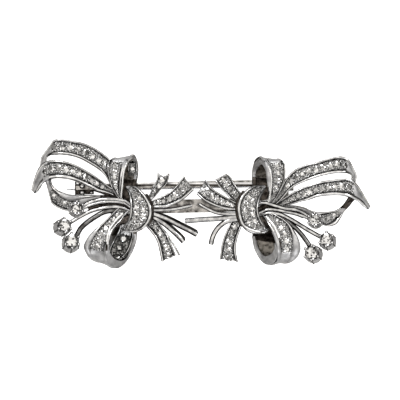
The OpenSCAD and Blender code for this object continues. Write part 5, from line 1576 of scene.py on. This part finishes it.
@dataclass
class Studio:
    """A plain white table, a soft tent of light that is dark above the lens, and the camera.

    The camera's centre, width, distance and plane are in millimetres. A lamp is its name, its bearing from
    +X towards +Y and its height in degrees, its size in metres and its power in watts.
    """

    centre: tuple[float, float] = (-0.2, 0.8)
    width: float = 80.0
    distance: float = 2500.0
    plane: float = 7.0
    sensor: float = 36.0
    sheet: float = 6.0
    sheet_z: float = -0.00002
    strength: float = 1.37
    warmth: tuple[float, float, float] = (1.03, 1.0, 0.95)
    lamp_away: float = 0.5
    lamps: tuple[tuple[str, float, float, tuple[float, float], float], ...] = (
        ("key_box", 125, 52, (0.16, 0.1), 0.45),
        ("fill_box", 20, 45, (0.08, 0.14), 0.25),
        ("low_box", -85, 14, (0.3, 0.14), 0.7),
        ("back_box", 95, 14, (0.3, 0.14), 0.7),
    )

    def floor(self) -> None:
        """Lays a plain white acrylic sheet that is softly lit from below."""
        bpy.ops.object.select_all(action="DESELECT")
        bpy.ops.mesh.primitive_plane_add(size=self.sheet, location=(0, 0, self.sheet_z))
        sheet = bpy.context.object
        sheet.name = "white_table"
        # Opal acrylic: white, faintly glossy, with the light coming through it
        mat, tree, shader, where = blank("opal_acrylic")
        white = ramp(tree, noise(tree, where, 0.02, 1.0), (0.3, "#FBFBFA"), (0.7, "#FFFFFF"))
        tree.links.new(white, shader.inputs["Base Color"])
        shader.inputs["Roughness"].default_value = 0.6
        shader.inputs["Emission Color"].default_value = linear("#FFFFFF")
        shader.inputs["Emission Strength"].default_value = 1.0
        sheet.data.materials.append(mat)
        sheet.visible_glossy = False

    def tent(self) -> None:
        """Sets the tent's light: bright walls, darker near the table and dark round the lens."""
        world = bpy.data.worlds.new("light_tent")
        bpy.context.scene.world = world
        world.use_nodes = True
        tree = world.node_tree
        back = tree.nodes["Background"]
        way = node(tree, "TexCoord").outputs["Generated"]
        height = node(tree, "SeparateXYZ", {"Vector": way}).outputs["Z"]
        part = node(tree, "MapRange", {"Value": height, "From Min": -1.0}).outputs[0]
        shade = ramp(tree, part, (0.0, "#E0E0E0"), (0.28, "#C8C8C8"), (0.42, "#707070"), (0.48, "#1E1E1E"),
                     (0.56, "#222222"), (0.68, "#8C8C8C"), (0.8, "#E8E8E8"), (0.9, "#FFFFFF"),
                     (0.98, "#E2E2E2"))
        dimmed = ramp(tree, noise(tree, way, 3.0, 1.0), (0.4, "#6A6A6A"), (0.55, "#FFFFFF"))
        overhead = ramp(tree, part, (0.86, "#000000"), (0.93, "#FFFFFF"))
        kept = node(tree, "VectorMath", {0: dimmed, 1: overhead}, operation="MAXIMUM").outputs["Vector"]
        warm = product(tree, product(tree, shade, kept), self.warmth)
        tree.links.new(warm, back.inputs["Color"])
        back.inputs["Strength"].default_value = self.strength

    def lamp(self, name: str, azimuth: float, elevation: float, size: tuple[float, float],
             power: float) -> None:
        """Hangs a soft box that looks at the brooch.

        Args:
            name: The lamp's name.
            azimuth: Its bearing in degrees, from +X towards +Y.
            elevation: Its height above the table in degrees.
            size: Width and height in metres.
            power: Power in watts.
        """
        a, e = math.radians(azimuth), math.radians(elevation)
        way = Vector((math.cos(a) * math.cos(e), math.sin(a) * math.cos(e), math.sin(e)))
        bpy.ops.object.light_add(type="AREA", location=way * self.lamp_away)
        box = bpy.context.object
        box.name = name
        box.data.shape = "RECTANGLE"
        box.data.size, box.data.size_y = size
        box.data.energy = power
        box.rotation_euler = way.to_track_quat("Z", "Y").to_euler()

    def camera(self) -> None:
        """Puts a long lens straight above the brooch."""
        bpy.ops.object.camera_add(location=(self.centre[0] * MM, self.centre[1] * MM, self.distance * MM))
        cam = bpy.context.object
        cam.data.sensor_width = self.sensor
        cam.data.lens = self.sensor * (self.distance - self.plane) / self.width
        cam.data.clip_end = 20.0
        bpy.context.scene.camera = cam

    def build(self) -> None:
        """Builds the whole studio."""
        self.floor()
        self.tent()
        for lamp in self.lamps:
            self.lamp(*lamp)
        self.camera()
        bpy.context.scene.view_settings.view_transform = "Standard"


def left_ribbons() -> tuple[Ribbon, ...]:
    """The ribbons of the left spray with their rows of stones."""
    return (
        Ribbon("left_wing_upper_ribbon", LEFT_WING_UPPER, (RowPlan(1.5, 6.9, 8, 1.25, 1.55),), tip=7.5),
        Ribbon("left_wing_lower_ribbon", LEFT_WING_LOWER, (RowPlan(2.6, 9.4, 10, 1.05, 1.5),),
               root=0.8, tip=9.4),
        Ribbon("left_under_ribbon", LEFT_UNDER, (RowPlan(3.2, 6.2, 4, 1.0, 1.2),), tail=3.2),
        Ribbon("left_top_loop_ribbon", LEFT_TOP_LOOP, (RowPlan(3.2, 6.6, 6, 0.8, 1.3),),
               inside=8.5, fold=7.5, groove_wall=0.12, root=1.5, tail=2.5),
        Ribbon("left_bottom_loop_ribbon", LEFT_BOTTOM_LOOP, (RowPlan(1.6, 5.9, 7, 1.0, 1.35),),
               inside=8.5, fold=6.4, root=0.6, tail=2.5),
        Ribbon("left_top_back_ribbon", LEFT_TOP_BACK, (RowPlan(0.7, 1.8, 2, 1.1, 1.4),),
               row="left_row_top_loop", groove_wall=0.1),
        Ribbon("left_lip_ribbon", LEFT_LIP[::-1], sheet=1.3, fold=0.0),
        Ribbon("left_bottom_back_ribbon", LEFT_BOTTOM_BACK, (RowPlan(1.9, 4.2, 3, 1.5, 1.2),)),
        Ribbon("left_knot_ribbon", LEFT_KNOT,
               (RowPlan(1.8, 6.6, 7, 1.12, 1.12, 0.14), RowPlan(3.0, 5.7, 4, 1.02, 1.02, 0.94)),
               depth=2.6, groove_wall=0.12, bed=0.3, bright=True),
        Ribbon("left_fork_ribbon", LEFT_FORK, (RowPlan(1.7, 3.6, 3, 0.85, 1.25),), notch=1.1, tip=4.2),
        Ribbon("left_broad_ribbon", LEFT_BROAD, (RowPlan(1.4, 4.3, 5, 0.95, 1.4),),
               (5.3, 0.9), bright=True),
        Ribbon("left_lower_ribbon", LEFT_LOWER, (RowPlan(1.5, 5.6, 5, 1.1, 1.3),)),
    )


def right_ribbons() -> tuple[Ribbon, ...]:
    """The ribbons of the right spray with their rows of stones."""
    return (
        Ribbon("right_wing_upper_ribbon", RIGHT_WING_UPPER, (RowPlan(4.0, 11.4, 10, 1.15, 1.5),),
               tip=11.6),
        Ribbon("right_wing_lower_ribbon", RIGHT_WING_LOWER, (RowPlan(3.6, 10.7, 11, 1.1, 1.42),),
               tip=10.4),
        Ribbon("right_under_ribbon", RIGHT_UNDER, (RowPlan(4.0, 5.9, 3, 1.1, 1.1),), root=2.2),
        Ribbon("right_top_loop_ribbon", RIGHT_TOP_LOOP, (RowPlan(2.8, 5.9, 5, 0.9, 1.3),),
               inside=7.5, fold=6.6, groove_wall=0.12, root=1.3, tail=2.5),
        Ribbon("right_top_lip_ribbon", RIGHT_TOP_LIP, sheet=1.2, fold=0.0),
        Ribbon("right_lip_ribbon", RIGHT_LIP[::-1], sheet=1.3, fold=0.0),
        Ribbon("right_bottom_loop_ribbon", RIGHT_BOTTOM_LOOP, (RowPlan(1.7, 5.8, 6, 1.1, 1.5),),
               inside=8.5, fold=6.4, root=1.0, tail=3.5),
        Ribbon("right_knot_ribbon", RIGHT_KNOT,
               (RowPlan(1.8, 6.6, 7, 1.12, 1.12, 0.86), RowPlan(3.0, 5.7, 4, 1.02, 1.02, 0.06)),
               depth=2.6, groove_wall=0.12, bed=0.3, bright=True),
        Ribbon("right_fork_ribbon", RIGHT_FORK, (RowPlan(1.5, 4.2, 4, 1.0, 1.4),), tip=4.6),
        Ribbon("right_broad_ribbon", RIGHT_BROAD, (RowPlan(1.4, 4.3, 5, 0.95, 1.4),),
               (5.2, 0.85), bright=True),
        Ribbon("right_lower_ribbon", RIGHT_LOWER, (RowPlan(1.5, 5.6, 5, 1.1, 1.3),)),
    )


def main() -> None:
    """Builds the studio and the brooch, and reports each piece."""
    logging.basicConfig(level=logging.INFO, format="%(name)s %(message)s")
    Studio().build()
    finishes = Finishes()
    stone = Brilliant("stone_pattern").build()
    grain = Grain("grain_pattern").build()
    for spray in (
        Spray(Side.LEFT, left_ribbons(), LEFT_RUNS, LEFT_COLLETS, LEFT_PLATE),
        Spray(Side.RIGHT, right_ribbons(), RIGHT_RUNS, RIGHT_COLLETS, RIGHT_PLATE),
    ):
        spray.build(finishes, stone, grain)
    PinFrame().build(finishes, grain)
    for pattern in (stone, grain):
        bpy.data.objects.remove(pattern)


if __name__ == "__main__":
    main()
